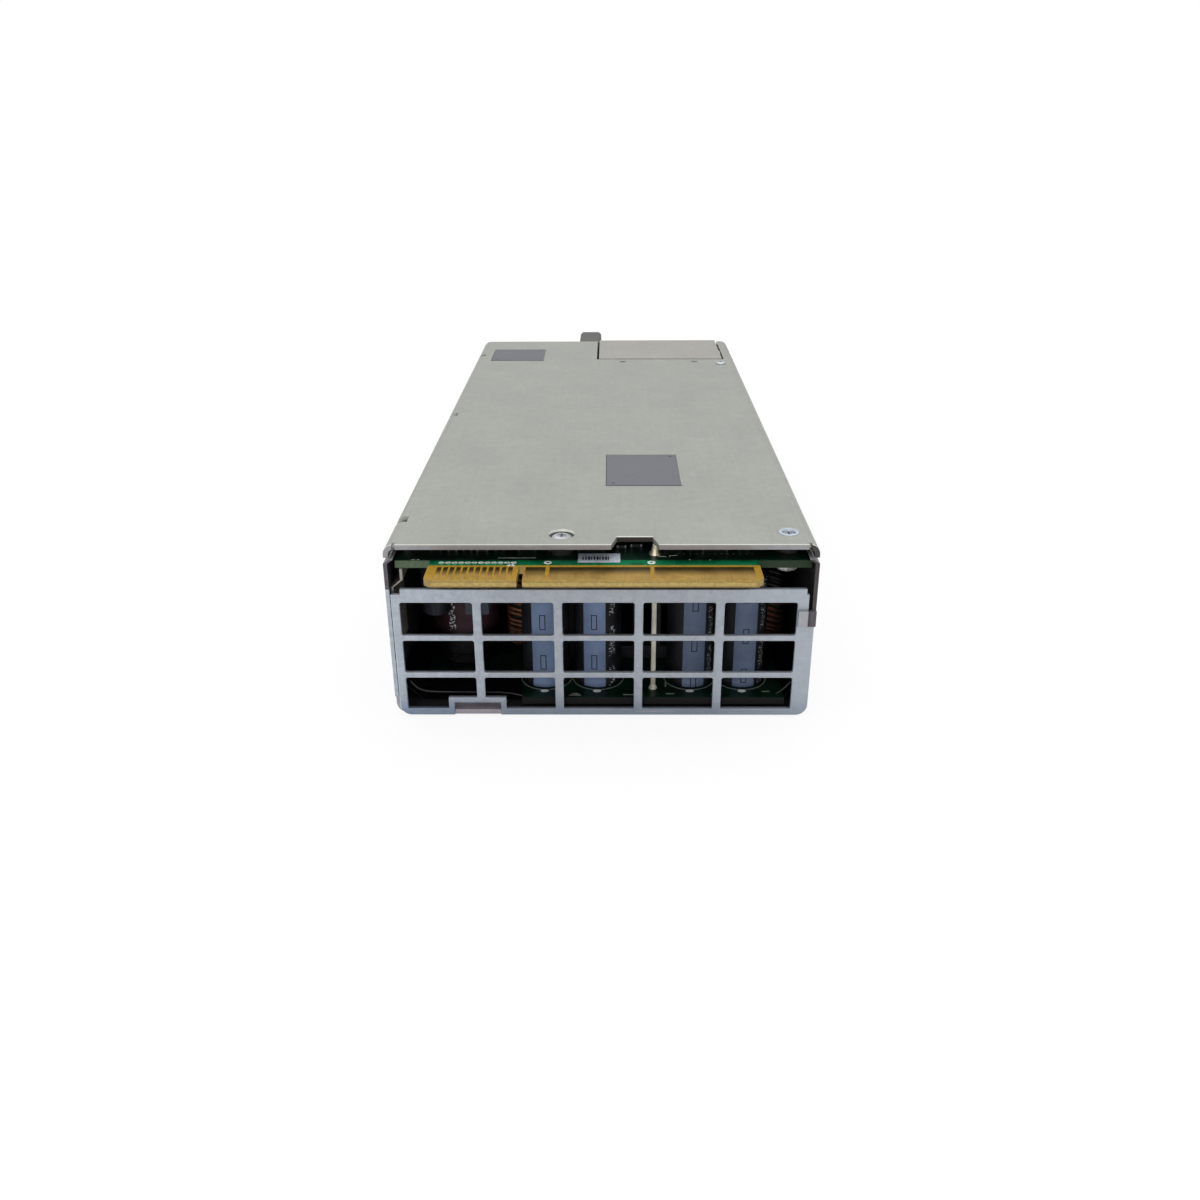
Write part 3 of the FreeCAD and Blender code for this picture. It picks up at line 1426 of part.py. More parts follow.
def fan_guard():
    """Two rings on diagonal bars, with a lug at each corner."""
    wire = d.guard_wire
    pieces = []
    for index, radius in enumerate([d.guard_outer / 2, d.guard_inner / 2]):
        ring = prism(f"ring_{index}", (d.fan_shift, rear, fan_level), radius, wire, RING_SIDES, "y")
        hole = prism(f"ring_hole_{index}", (d.fan_shift, rear - 1, fan_level), radius - wire, wire + 2,
                     RING_SIDES, "y")
        pieces.append(trimmed(f"guard_ring_{index}", ring, [hole]))
    reach = d.fan_hole_pitch / 2
    half = wire / 2 * 2 ** 0.5
    for index, side in enumerate([-1, 1]):
        low = fan_level - reach * side
        high = fan_level + reach * side
        points = [(d.fan_shift - reach - half, low), (d.fan_shift - reach + half, low),
                  (d.fan_shift + reach + half, high), (d.fan_shift + reach - half, high)]
        pieces.append(padded(f"guard_bar_{index}", "XZ_Plane", rear, points, wire))
    holes = []
    lug = d.guard_lug / 2
    for index, (x, z) in enumerate(fan_holes()):
        pieces.append(box(f"lug_{index}", (x - lug, rear, z - lug), (lug * 2, wire, lug * 2)))
        holes.append(prism(f"lug_hole_{index}", (x, rear - 1, z), d.fan_hole / 2 + d.screw_clearance,
                           wire + 2, HOLE_SIDES, "y"))
    trimmed("guard_cut", fused("guard_blank", pieces), holes, "fan_guard")


def fan_screws():
    pieces = []
    for index, (x, z) in enumerate(fan_holes()):
        pieces.append(screw(f"fan_screw_{index}", (x, rear + d.guard_wire, z), d.fan_hole / 2 - 0.05,
                            d.guard_wire + d.panel_sheet + d.fan_screw_bite, d.fan_screw_head / 2,
                            d.fan_screw_head_height, "y"))
    group("fan_screws", pieces)


def fan_lead():
    """The fan's lead and its plug on the main board."""
    x = d.fan_shift - d.fan_size / 2 + d.lead_side
    level = board_top + d.lead_level
    start = fan_front - d.lead_length
    lead = rod("lead_run", (x, start, level), d.lead_diameter / 2, d.lead_length, "y")
    labelled(lead, "fan_lead")
    plug = box("plug_block", (x - d.lead_plug / 2, start - d.lead_plug, board_top),
               (d.lead_plug, d.lead_plug, d.plug_height))
    labelled(plug, "fan_plug")


# ---------------------------------------------------------------- release latch

ear_low = d.latch_level - d.ear_gap * 2 - d.spring_height
ear_high = d.latch_level + d.latch_height + d.ear_gap


def release_latch():
    """A lever on an upright pin: barrel, joggled arm, tail and the catch that holds the bay."""
    half = d.latch_sheet / 2
    turn = pivot_y + d.latch_jog_start
    straight = turn + d.latch_jog_length
    tail = rear + d.latch_tail
    arm = [
        (pivot_x - half, pivot_y), (pivot_x + half, pivot_y), (pivot_x + half, turn),
        (latch_outer, straight), (latch_outer, tail), (latch_inner, tail), (latch_inner, straight),
        (pivot_x - half, turn),
    ]
    body = padded("release_latch", "XY_Plane", d.latch_level, arm, d.latch_height)
    rod("barrel", (pivot_x, pivot_y, d.latch_level), d.latch_barrel / 2, d.latch_height, "z", body)
    tip = half_width + d.catch_proud
    end = rear - d.catch_rear
    catch = [(latch_outer - MERGE, end - d.catch_length), (tip, end - d.catch_land), (tip, end),
             (latch_outer - MERGE, end)]
    sketch = outline(body, "catch", "XY_Plane", d.latch_level, [catch])
    pad(body, sketch, d.latch_height, "XY_Plane")
    cut_rod(body, "barrel_bore", (pivot_x, pivot_y, d.latch_level - 1),
            d.latch_pin_diameter / 2 + d.latch_pin_clearance, d.latch_height + 2)


def thumb_pad():
    """The plastic cap on the lever's tail, ribbed where the thumb presses."""
    start = rear + 2.5
    low = d.latch_level + d.latch_height / 2 - d.thumb_height / 2
    left = latch_inner - 1
    right = half_width - 0.1
    block = box("pad_block", (left, start, low), (right - left, d.thumb_length + 1.2, d.thumb_height))
    tail = box("pad_room", (latch_inner, start - 1, d.latch_level),
               (d.latch_sheet, rear + d.latch_tail - start + 1, d.latch_height))
    grooves = [box(f"pad_groove_{i}", (right - 0.4, start + 1.4 + 2 * i, low - 1),
                   (1, 0.8, d.thumb_height + 2)) for i in range(4)]
    trimmed("pad_cut", block, [tail] + grooves, "thumb_pad")


def latch_bracket():
    """A C-shaped bracket spot-welded to the right wall, with an ear above and below the lever."""
    back = wall_inside - d.bracket_sheet
    tip = wall_inside - d.bracket_reach
    t = d.bracket_sheet
    points = [
        (tip, ear_low - t), (wall_inside, ear_low - t), (wall_inside, ear_high + t), (tip, ear_high + t),
        (tip, ear_high), (back, ear_high), (back, ear_low), (tip, ear_low),
    ]
    body = padded("latch_bracket", "XZ_Plane", pivot_y - d.bracket_ahead, points, d.bracket_length)
    cut_rod(body, "ear_bore", (pivot_x, pivot_y, ear_low - t - 1),
            d.latch_pin_diameter / 2 + d.latch_pin_clearance, ear_high - ear_low + t * 2 + 2)


def latch_pin():
    """A headed pin through both ears and the lever's barrel."""
    low = ear_low - d.bracket_sheet
    high = ear_high + d.bracket_sheet
    shank = rod("pin_rod", (pivot_x, pivot_y, low - 0.6), d.latch_pin_diameter / 2, high - low + 1.2)
    heads = [prism(f"pin_head_{i}", (pivot_x, pivot_y, z), d.latch_pin_diameter * 0.8, 0.6,
                   FASTENER_SIDES) for i, z in enumerate([low - 0.6, high])]
    fused("latch_pin", [shank] + heads)


def latch_spring():
    """A torsion spring round the pin: one leg leans on the lever, the other on the bracket."""
    wire = d.spring_wire
    inner = d.latch_pin_diameter / 2 + 0.35
    outer = inner + wire * 1.25
    low = ear_low + 0.15
    high = low + d.spring_height - 0.3
    coil = rod("spring_coil", (pivot_x, pivot_y, low), outer, high - low)
    bore = rod("spring_bore", (pivot_x, pivot_y, low - 1), inner, high - low + 2)
    leg_x = pivot_x - outer
    legs = [
        box("lever_leg", (leg_x, pivot_y, high - wire), (wire, d.spring_leg, wire)),
        box("lever_leg_tip", (leg_x, pivot_y + d.spring_leg - wire, high - wire), (wire, wire, 4)),
        box("bracket_leg", (pivot_x + outer - wire, pivot_y - d.spring_leg, low), (wire, d.spring_leg, wire)),
        box("bracket_leg_tip", (pivot_x + outer - wire, pivot_y - d.spring_leg, low),
            (wall_inside - d.bracket_sheet - pivot_x - outer + wire, wire, wire)),
    ]
    ring = trimmed("spring_ring", coil, [bore])
    fused("latch_spring", [ring] + legs)


# ---------------------------------------------------------------- build, check and write

SUB_PARTS = [
    chassis_tray, top_cover, inlet_grille, rear_panel, cover_screws, board_nuts, cover_labels,
    output_board, signal_contacts, power_contacts, side_bracket, main_board, board_screws,
    insulator_film, capacitors, bus_pin, chokes, rectifier_heatsink, output_transistors,
    primary_heatsink, power_transistors, transformer, potted_parts, bulk_capacitor, line_fuse,
    pull_handle, handle_screws, inlet_housing, inlet_blades, light_pipe, fan_frame, fan_stator,
    fan_rotor, fan_shaft, fan_guard, fan_screws, fan_lead, release_latch, thumb_pad, latch_bracket,
    latch_pin, latch_spring,
]
NODES = [
    "chassis_tray", "top_cover", "inlet_grille", "rear_panel", "cover_screws", "board_nuts",
    "cover_labels", "output_board", "signal_contacts", "power_contacts", "side_bracket",
    "main_board", "board_screws", "insulator_film", "output_capacitor_1", "output_capacitor_2",
    "output_capacitor_3", "output_capacitor_4", "filter_capacitor", "bus_pin", "left_choke_core",
    "left_choke_winding", "right_choke_core", "right_choke_winding", "boost_choke_core",
    "boost_choke_winding", "line_choke_core", "line_choke_winding", "rectifier_heatsink",
    "output_transistors", "primary_heatsink", "power_transistors", "transformer_core",
    "transformer_winding", "resonant_capacitor", "line_capacitor", "inrush_relay", "control_board",
    "bulk_capacitor", "line_fuse", "fuse_clips", "pull_handle", "handle_screws", "inlet_housing",
    "inlet_blades", "light_pipe", "fan_frame", "fan_stator", "fan_rotor", "fan_shaft", "fan_guard",
    "fan_screws", "fan_lead", "fan_plug", "release_latch", "thumb_pad", "latch_bracket",
    "latch_pin", "latch_spring",
]


def checked_nodes():
    """The labelled objects, once every feature has built and every cut has cut."""
    doc.recompute()
    failed = [item.Name for item in doc.Objects if {"Invalid", "Error"} & set(item.State)]
    if failed:
        raise RuntimeError(f"features that did not build: {failed}")
    for item in doc.Objects:
        base = getattr(item, "BaseFeature", None)
        cuts = item.TypeId.startswith(("PartDesign::Subtractive", "PartDesign::Pocket"))
        if cuts and base and item.Shape.Volume > base.Shape.Volume - 1e-6:
            raise RuntimeError(f"{item.Name} cuts nothing")
    nodes = {}
    for name in NODES:
        item, = [thing for thing in doc.Objects if thing.Label == name]
        if item.Shape.isNull() or not item.Shape.isValid() or not item.Shape.Solids:
            raise RuntimeError(f"{name} has no sound solid")
        nodes[name] = item
    return nodes


def write_nodes():
    os.makedirs("parts", exist_ok=True)
    for name, item in checked_nodes().items():
        item.Shape.exportStep(f"parts/{name}.step")
        print(name, len(item.Shape.Solids), "solids", round(item.Shape.Volume, 1), "mm3")


for make in SUB_PARTS:
    make()
write_nodes()
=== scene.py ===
import math

import bpy
from mathutils import Matrix, Vector

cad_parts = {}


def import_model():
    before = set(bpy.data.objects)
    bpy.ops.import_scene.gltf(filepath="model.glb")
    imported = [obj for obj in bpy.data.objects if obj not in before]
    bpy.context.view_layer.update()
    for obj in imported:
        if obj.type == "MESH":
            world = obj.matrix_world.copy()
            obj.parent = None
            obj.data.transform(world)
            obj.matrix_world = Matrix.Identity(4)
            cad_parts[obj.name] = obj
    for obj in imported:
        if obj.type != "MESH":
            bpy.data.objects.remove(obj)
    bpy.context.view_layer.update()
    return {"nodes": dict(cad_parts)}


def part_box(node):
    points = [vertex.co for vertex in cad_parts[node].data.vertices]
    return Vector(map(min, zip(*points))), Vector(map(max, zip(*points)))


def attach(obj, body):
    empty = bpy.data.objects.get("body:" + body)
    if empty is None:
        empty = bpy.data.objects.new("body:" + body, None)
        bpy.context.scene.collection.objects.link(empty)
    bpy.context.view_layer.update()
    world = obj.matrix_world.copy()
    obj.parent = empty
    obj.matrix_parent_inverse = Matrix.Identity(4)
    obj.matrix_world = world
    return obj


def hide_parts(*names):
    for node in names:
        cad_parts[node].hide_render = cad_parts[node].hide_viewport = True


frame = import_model()

# Hot-swap server power supply. The card edge points along -Y, +X is to the right and +Z is up.
# The scene is in metres. The functions below take and give millimetres; MM turns those into metres.
MM = 0.001


def box(node):
    """The two corners of a CAD node."""
    return [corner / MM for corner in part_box(node)]


def sized(low, high):
    """A box's corners, its middle and half its width."""
    return low, high, (low + high) / 2, (high.x - low.x) / 2


def span(node):
    return sized(*box(node))


LID_LOW, LID_HIGH = box("top_cover")
PLATE_LOW, PLATE_HIGH = box("inlet_grille")
FRONT = PLATE_LOW.y
CHOKE_LEFT = box("right_choke_core")[0].x
LID_TOP = box("cover_labels")[0].z
BOARD_LOW, BOARD_HIGH = box("output_board")
BOARD_TOP = BOARD_HIGH.z
MAIN_TOP = box("main_board")[1].z


# ---- modelling helpers ----

def only(*items):
    """Select these objects and make the first one active."""
    bpy.ops.object.select_all(action="DESELECT")
    for item in items:
        item.select_set(True)
    bpy.context.view_layer.objects.active = items[0]


def edit(item, kind="FACE"):
    """Edit mode with everything selected."""
    only(item)
    bpy.ops.object.mode_set(mode="EDIT")
    bpy.ops.mesh.select_mode(type=kind)
    bpy.ops.mesh.select_all(action="SELECT")


def done():
    bpy.ops.object.mode_set(mode="OBJECT")


def applied():
    """The new object, with its place, turn and scale put into its mesh."""
    bpy.ops.object.transform_apply(location=True, rotation=True, scale=True)
    return bpy.context.object


def placed(name, data):
    item = bpy.data.objects.new(name, data)
    bpy.context.scene.collection.objects.link(item)
    return item


def at(centre):
    return Matrix.Translation(Vector(centre) * MM)


def spin(degrees, axis):
    return Matrix.Rotation(math.radians(degrees), 4, axis)


TURNED = {"z": Matrix(), "y": spin(-90, "X"), "x": spin(90, "Y")}
AXES = {"x": Vector((1, 0, 0)), "y": Vector((0, 1, 0)), "z": Vector((0, 0, 1))}


def moved(item, centre, turn):
    """Turn a piece about the origin and carry it to its centre."""
    item.data.transform(at(centre) @ turn)
    return item


def rounded(item, width, segments=2, angle=30):
    """A bevel on every edge sharper than the angle."""
    only(item)
    bevel = item.modifiers.new("edge", "BEVEL")
    bevel.width = width * MM
    bevel.segments = segments
    bevel.limit_method = "ANGLE"
    bevel.angle_limit = math.radians(angle)
    bpy.ops.object.modifier_apply(modifier=bevel.name)
    return item


def cut(item, tool):
    """Take a tool's volume out of a piece."""
    only(item)
    trim = item.modifiers.new("cut", "BOOLEAN")
    trim.operation = "DIFFERENCE"
    trim.object = tool
    trim.solver = "EXACT"
    bpy.ops.object.modifier_apply(modifier=trim.name)
    bpy.data.objects.remove(tool)


def sliced(item, axis, *levels):
    """Cut a mesh across an axis at each level and keep both sides."""
    for level in levels:
        edit(item)
        bpy.ops.mesh.bisect(plane_co=AXES[axis] * level * MM, plane_no=AXES[axis])
        done()


def settle(pieces, name, finish, node=None, body="chassis", smooth=35):
    """One named piece of one or more: its finish, its body, and the CAD node it stands for."""
    pieces = pieces if isinstance(pieces, list) else [pieces]
    only(*pieces)
    if len(pieces) > 1:
        bpy.ops.object.join()
    item = applied()
    if smooth:
        bpy.ops.object.shade_smooth_by_angle(angle=math.radians(smooth))
    item.name = name
    item.data.name = name
    item.data.materials.clear()
    item.data.materials.append(finish)
    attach(item, body)
    if node:
        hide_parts(node)
    return item


def block(low, high, edge=0, segments=2):
    """A block between two corners with its edges rounded."""
    low, high = Vector(low) * MM, Vector(high) * MM
    bpy.ops.mesh.primitive_cube_add(size=1, location=(low + high) / 2)
    bpy.context.object.scale = high - low
    item = applied()
    return rounded(item, edge, segments) if edge else item


def turned(centre, profile, axis="z", sides=48, closed=False, edge=0):
    """A form turned round an axis from (radius, height) pairs; closed makes a ring of them."""
    profile = [(radius * MM, height * MM) for radius, height in profile]
    radius, height = profile[0]
    bpy.ops.mesh.primitive_circle_add(vertices=sides, radius=radius, location=(0, 0, height),
                                      fill_type="NOTHING" if closed else "NGON")
    item = applied()
    edit(item, "VERT" if closed else "FACE")
    for wide, up in profile[1:] + profile[:closed]:
        bpy.ops.mesh.extrude_region_move(TRANSFORM_OT_translate={"value": (0, 0, up - height)})
        ratio = wide / radius
        bpy.ops.transform.resize(value=(ratio, ratio, 1), center_override=(0, 0, up))
        radius, height = wide, up
    bpy.ops.mesh.select_all(action="SELECT")
    if closed:
        bpy.ops.mesh.remove_doubles(threshold=1e-7)
    bpy.ops.mesh.normals_make_consistent(inside=False)
    done()
    moved(item, centre, TURNED[axis])
    return rounded(item, edge) if edge else item


def hoop(centre, outer, inner, low, high, sides, edge=0):
    """A flat ring between two radii and two levels."""
    return turned(centre, [(inner, low), (outer, low), (outer, high), (inner, high)],
                  closed=True, sides=sides, edge=edge)


def wire(points, thickness, closed=False, smooth=False):
    """A round wire along points."""
    data = bpy.data.curves.new("wire", "CURVE")
    data.dimensions = "3D"
    data.bevel_depth = thickness / 2 * MM
    data.bevel_resolution = 3
    data.use_fill_caps = not closed
    spline = data.splines.new("NURBS" if smooth else "POLY")
    spline.points.add(len(points) - 1)
    for spot, point in zip(spline.points, points):
        spot.co = (*(Vector(point) * MM), 1)
    if smooth:
        spline.order_u = 3
        spline.use_endpoint_u = True
    spline.use_cyclic_u = closed
    only(placed("wire", data))
    bpy.ops.object.convert(target="MESH")
    return bpy.context.object


def corners(item):
    return [vertex.co / MM for vertex in item.data.vertices]


def parts(node):
    """The separate solids of a node, each as sized() gives it, from left to right."""
    edit(placed("probe", frame["nodes"][node].data.copy()))
    bpy.ops.mesh.remove_doubles(threshold=1e-6)
    bpy.ops.mesh.separate(type="LOOSE")
    done()
    boxes = []
    for item in list(bpy.context.selected_objects):
        spots = [vertex.co for vertex in item.data.vertices]
        boxes.append([Vector([pick(spot[i] for spot in spots) for i in range(3)]) for pick in (min, max)])
        bpy.data.objects.remove(item)
    boxes.sort(key=lambda pair: (round(pair[0].x, 4), round(pair[0].z, 4), round(pair[0].y, 4)))
    return [sized(low / MM, high / MM) for low, high in boxes]


PANEL_AREA = 12 * MM * MM


def dressed(node, finish, edge, slot, segments=2, body="chassis"):
    """The CAD node's own shape with its sharp edges broken, standing for the node.

    Its broad level or upright faces are shaded flat, so that no rounded edge tints them.
    """
    item = placed(node + "_finish", frame["nodes"][node].data.copy())
    edit(item)
    bpy.ops.mesh.customdata_custom_splitnormals_clear()
    bpy.ops.mesh.remove_doubles(threshold=1e-6)
    bpy.ops.mesh.dissolve_limited(angle_limit=math.radians(0.6))
    bpy.ops.mesh.normals_make_consistent(inside=False)
    done()
    settle(rounded(item, edge, segments, angle=25), node + "_finish", finish, node, body)
    for face in item.data.polygons:
        if face.area > PANEL_AREA and max(abs(part) for part in face.normal) > 0.99999:
            face.use_smooth = False
    return item


def finish_faces(item, finishes, choose):
    """Give each face one of several finishes, by its centre and normal."""
    item.data.materials.clear()
    for finish in finishes:
        item.data.materials.append(finish)
    for face in item.data.polygons:
        face.material_index = finishes.index(choose(face.center / MM, face.normal))


# ---- shader helpers ----

def rgb(colour, share=1, lift=0):
    """A display colour in hexadecimal, scaled and lifted, as the linear colour that shaders take."""
    levels = [(level * share + lift) / 255 for level in bytes.fromhex(colour)]
    return (*[level / 12.92 if level <= 0.04045 else ((level + 0.055) / 1.055) ** 2.4
              for level in levels], 1)


def feed(item, inputs):
    """Set or link a shader node's inputs."""
    for key, value in inputs.items():
        if isinstance(value, bpy.types.NodeSocket):
            item.id_data.links.new(value, item.inputs[key])
        else:
            item.inputs[key].default_value = value


def add(tree, kind, inputs=None, **settings):
    """A shader node with its settings and inputs; gives its outputs."""
    item = tree.nodes.new("ShaderNode" + kind)
    for name, value in settings.items():
        setattr(item, name, value)
    feed(item, inputs or {})
    return item.outputs


def blend(factor, low, high):
    """A colour between two, by a factor."""
    return add(factor.id_data, "Mix", {0: factor, 6: low, 7: high}, data_type="RGBA")[2]


def ramp(value, start, end, low=0, high=1):
    """A value stretched from one range to another, held at its ends."""
    return add(value.id_data, "MapRange", {0: value, 1: start, 2: end, 3: low, 4: high})[0]


def maths(operation, first, second=0):
    return add(first.id_data, "Math", {0: first, 1: second}, operation=operation)[0]


def times(first, second):
    return maths("MULTIPLY", first, second)


def plus(first, second):
    return maths("ADD", first, second)


def noise(place, scale, detail, rough=0.5):
    """Noise; gives its value and its colour."""
    return add(place.id_data, "TexNoise",
               {"Vector": place, "Scale": scale, "Detail": detail, "Roughness": rough})


def stretched(place, scale, turn=0):
    return add(place.id_data, "Mapping", {"Vector": place, "Rotation": (0, 0, turn), "Scale": scale})[0]


def cell_grey(place, scale, spread=1, **settings):
    """A grey for each cell of a pattern."""
    cells = add(place.id_data, "TexVoronoi", {"Vector": place, "Scale": scale, "Randomness": spread},
                **settings)
    return add(place.id_data, "RGBToBW", {0: cells["Color"]})[0]


def shader_group(name, inputs, outputs):
    """A group of values: its tree, what it is given and its output node. An input of None is a place."""
    tree = bpy.data.node_groups.new(name, "ShaderNodeTree")
    for label, value in inputs.items():
        kind = "NodeSocketVector" if value is None else "NodeSocketFloat"
        socket = tree.interface.new_socket(label, in_out="INPUT", socket_type=kind)
        if value is not None:
            socket.default_value = value
    for label in outputs:
        tree.interface.new_socket(label, in_out="OUTPUT", socket_type="NodeSocketFloat")
    return tree, tree.nodes.new("NodeGroupInput").outputs, tree.nodes.new("NodeGroupOutput")


def build_handling():
    """Smudges, finger marks and fine scratches that any handled sheet metal has."""
    tree, given, leave = shader_group("handling", {"Vector": None, "Patch": 60, "Scratch": 0.5},
                                      ("Smudge", "Scratches", "Fine"))
    place = given["Vector"]
    patch = noise(place, given["Patch"], 4, 0.6)[0]
    streak = noise(stretched(place, (40, 900, 900), 0.5), 1, 2)[0]
    feed(leave, {"Smudge": ramp(patch, 0.36, 0.68),
                 "Scratches": times(ramp(streak, 0.68, 0.74), given["Scratch"]),
                 "Fine": noise(place, 1500, 4, 0.65)[0]})
    return tree


def build_spangle():
    """The faint crystal pattern and roll marks of zinc-coated sheet."""
    tree, given, leave = shader_group("zinc_spangle", {"Vector": None, "Size": 700}, ("Crystal", "Roll"))
    place = given["Vector"]
    warp = noise(place, 300, 2)[1]
    soft = add(tree, "Mix", {0: 0.003, 4: place, 5: warp}, data_type="VECTOR")[1]
    feed(leave, {"Crystal": cell_grey(soft, given["Size"]),
                 "Roll": noise(stretched(place, (1500, 25, 1500)), 1, 3)[0]})
    return tree


def build_print():
    """A printed stripe up a round sleeve, open marks along it and small ticks beside it.

    The map is in metres: across from the stripe's middle, and up from the middle of one mark.
    """
    tree, given, leave = shader_group(
        "sleeve_print", {"Vector": None, "Half width": 2.4 * MM, "Pitch": 9.3 * MM},
        ("Stripe", "Mark", "Flecks"))
    place = add(tree, "SeparateXYZ", {0: given["Vector"]})
    across = maths("ABSOLUTE", place[0])
    step = maths("PINGPONG", place[1], times(given["Pitch"], 0.5))

    def oblong(half_width, half_height):
        return times(maths("LESS_THAN", across, half_width * MM), maths("LESS_THAN", step, half_height * MM))

    fleck = noise(stretched(given["Vector"], (1400, 2600, 1)), 1, 1)[0]
    band = times(maths("GREATER_THAN", place[0], 3.2 * MM), maths("LESS_THAN", place[0], 4.7 * MM))
    ticks = times(times(ramp(fleck, 0.54, 0.58), band), maths("GREATER_THAN", step, 1.2 * MM))
    feed(leave, {"Stripe": maths("LESS_THAN", across, given["Half width"]),
                 "Mark": maths("SUBTRACT", oblong(0.64, 1.7), oblong(0.46, 1.52)),
                 "Flecks": ticks})
    return tree


def build_laminate():
    """Copper areas and traces that show faintly through a board's solder mask."""
    tree, given, leave = shader_group("laminate", {"Vector": None, "Scale": 260}, ("Copper", "Weave"))
    place = given["Vector"]
    grey = cell_grey(place, given["Scale"], 0.75, distance="CHEBYCHEV")
    feed(leave, {"Copper": ramp(grey, 0.45, 0.5), "Weave": noise(place, 1800, 2)[0]})
    return tree


HANDLING = build_handling()
SPANGLE = build_spangle()
PRINT = build_print()
LAMINATE = build_laminate()


def new_material(name):
    """An empty material: itself, its shader, its Object coordinates and its map."""
    material = bpy.data.materials.new(name)
    material.use_nodes = True
    tree = material.node_tree
    tree.nodes.clear()
    shader = tree.nodes.new("ShaderNodeBsdfPrincipled")
    output = tree.nodes.new("ShaderNodeOutputMaterial")
    tree.links.new(shader.outputs[0], output.inputs[0])
    place = add(tree, "TexCoord")
    return material, shader, place["Object"], place["UV"]


def grouped(group, place, **inputs):
    return add(place.id_data, "Group", {"Vector": place, **inputs}, node_tree=group)


def bumped(height, distance, strength):
    return add(height.id_data, "Bump", {"Height": height, "Distance": distance * MM, "Strength": strength})[0]


def shaded(colour, place, painted_shades):
    """Painted shade and light: the colour faded toward a tone along an axis; each shade is axis, from, to,
    share, tone.
    """
    along = add(place.id_data, "SeparateXYZ", {0: place}) if painted_shades else None
    for axis, start, end, share, tone in painted_shades:
        colour = blend(ramp(along["XYZ".index(axis)], start * MM, end * MM, 0, share), colour, rgb(tone))
    return colour


def zinc(name, light, dark, metallic, rough=0.42, cloud=0.3, grain=0.3, patch=60, painted_shades=()):
    """Zinc-coated sheet between two tones, with smudges, crystal grain and fine scratches."""
    material, shader, place, _ = new_material(name)
    marks = grouped(HANDLING, place, Patch=patch, Scratch=0.4)
    sheet = grouped(SPANGLE, place)
    tone = plus(times(sheet["Crystal"], grain * 0.6), times(marks["Smudge"], cloud))
    tone = plus(tone, times(sheet["Roll"], grain * 0.8))
    tone = plus(tone, times(marks["Fine"], grain))
    tone = plus(tone, 0.5 - 0.5 * cloud - 1.2 * grain)
    colour = shaded(blend(tone, rgb(dark), rgb(light)), place, painted_shades)
    feed(shader, {"Base Color": blend(times(marks["Scratches"], 0.5), colour, rgb("cdcecc")),
                  "Metallic": metallic,
                  "Roughness": ramp(marks["Smudge"], 0, 1, rough - 0.05, rough + 0.05),
                  "Normal": bumped(marks["Fine"], 0.02, 0.5)})
    return material


def moulded(name, colour, rough=0.5, grain=900, depth=0.03, coat=0, gloss=0.5):
    """Moulded plastic, rubber or lacquer with a fine surface grain and a faint tone change."""
    material, shader, place, _ = new_material(name)
    smudge = grouped(HANDLING, place, Patch=90, Scratch=0.15)["Smudge"]
    feed(shader, {"Base Color": blend(smudge, rgb(colour, 0.72), rgb(colour)),
                  "Roughness": ramp(smudge, 0, 1, rough + 0.06, rough - 0.05),
                  "Normal": bumped(noise(place, grain, 2)[0], depth, 0.6),
                  "Coat Weight": coat, "Specular IOR Level": gloss})
    return material


def bright_metal(name, light, dark, rough, streak=(400, 400, 60), metallic=1, painted_shades=()):
    """Plated or drawn metal with fine lines and dull patches."""
    material, shader, place, _ = new_material(name)
    smudge = grouped(HANDLING, place, Patch=240, Scratch=0.6)["Smudge"]
    lines = noise(stretched(place, streak), 3, 3)[0]
    tone = plus(times(lines, 0.6), times(smudge, 0.4))
    feed(shader, {"Base Color": shaded(blend(tone, rgb(dark), rgb(light)), place, painted_shades),
                  "Metallic": metallic,
                  "Roughness": ramp(smudge, 0, 1, rough, rough + 0.15),
                  "Normal": bumped(lines, 0.02, 0.4)})
    return material


def solder_mask(name, colour, copper, gloss=0.5):
    """A board's lacquered face, with copper faintly lighter below it."""
    material, shader, place, _ = new_material(name)
    layer = grouped(LAMINATE, place)
    feed(shader, {"Base Color": blend(layer["Copper"], rgb(colour), rgb(copper)),
                  "Roughness": ramp(layer["Weave"], 0.3, 0.7, 0.27, 0.4),
                  "Normal": bumped(layer["Copper"], 0.03, 0.5), "Specular IOR Level": gloss})
    return material


def sleeve(name, base, stripe, mark, half=2.4, pitch=9.3, flecks=0.5, painted_shades=()):
    """Shrink sleeve with its printed stripe, read from the wrapped map."""
    material, shader, place, wrapped = new_material(name)
    ink = grouped(PRINT, wrapped, **{"Half width": half * MM, "Pitch": pitch * MM})
    smudge = grouped(HANDLING, place, Patch=160)["Smudge"]
    dark = blend(smudge, rgb(base), rgb(base, 1.5, 4))
    pale = blend(smudge, rgb(stripe), rgb(stripe, 0.88))
    colour = blend(ink["Mark"], blend(ink["Stripe"], dark, pale), rgb(mark))
    colour = blend(times(ink["Flecks"], flecks), colour, rgb("ced2da"))
    feed(shader, {"Base Color": shaded(colour, place, painted_shades), "Specular IOR Level": 0.2,
                  "Roughness": ramp(smudge, 0, 1, 0.42, 0.54), "Normal": bumped(smudge, 0.05, 0.3)})
    return material


def plain_ink(name, colour, rough=0.55, speck=0.14):
    """Screen-printed ink, paper or cut laminate with a fine speckle."""
    material, shader, place, _ = new_material(name)
    grain = ramp(noise(place, 1500, 3)[0], 0.35, 0.65)
    feed(shader, {"Base Color": blend(grain, rgb(colour, 1 - speck), rgb(colour)),
                  "Specular IOR Level": 0.3, "Roughness": rough})
    return material


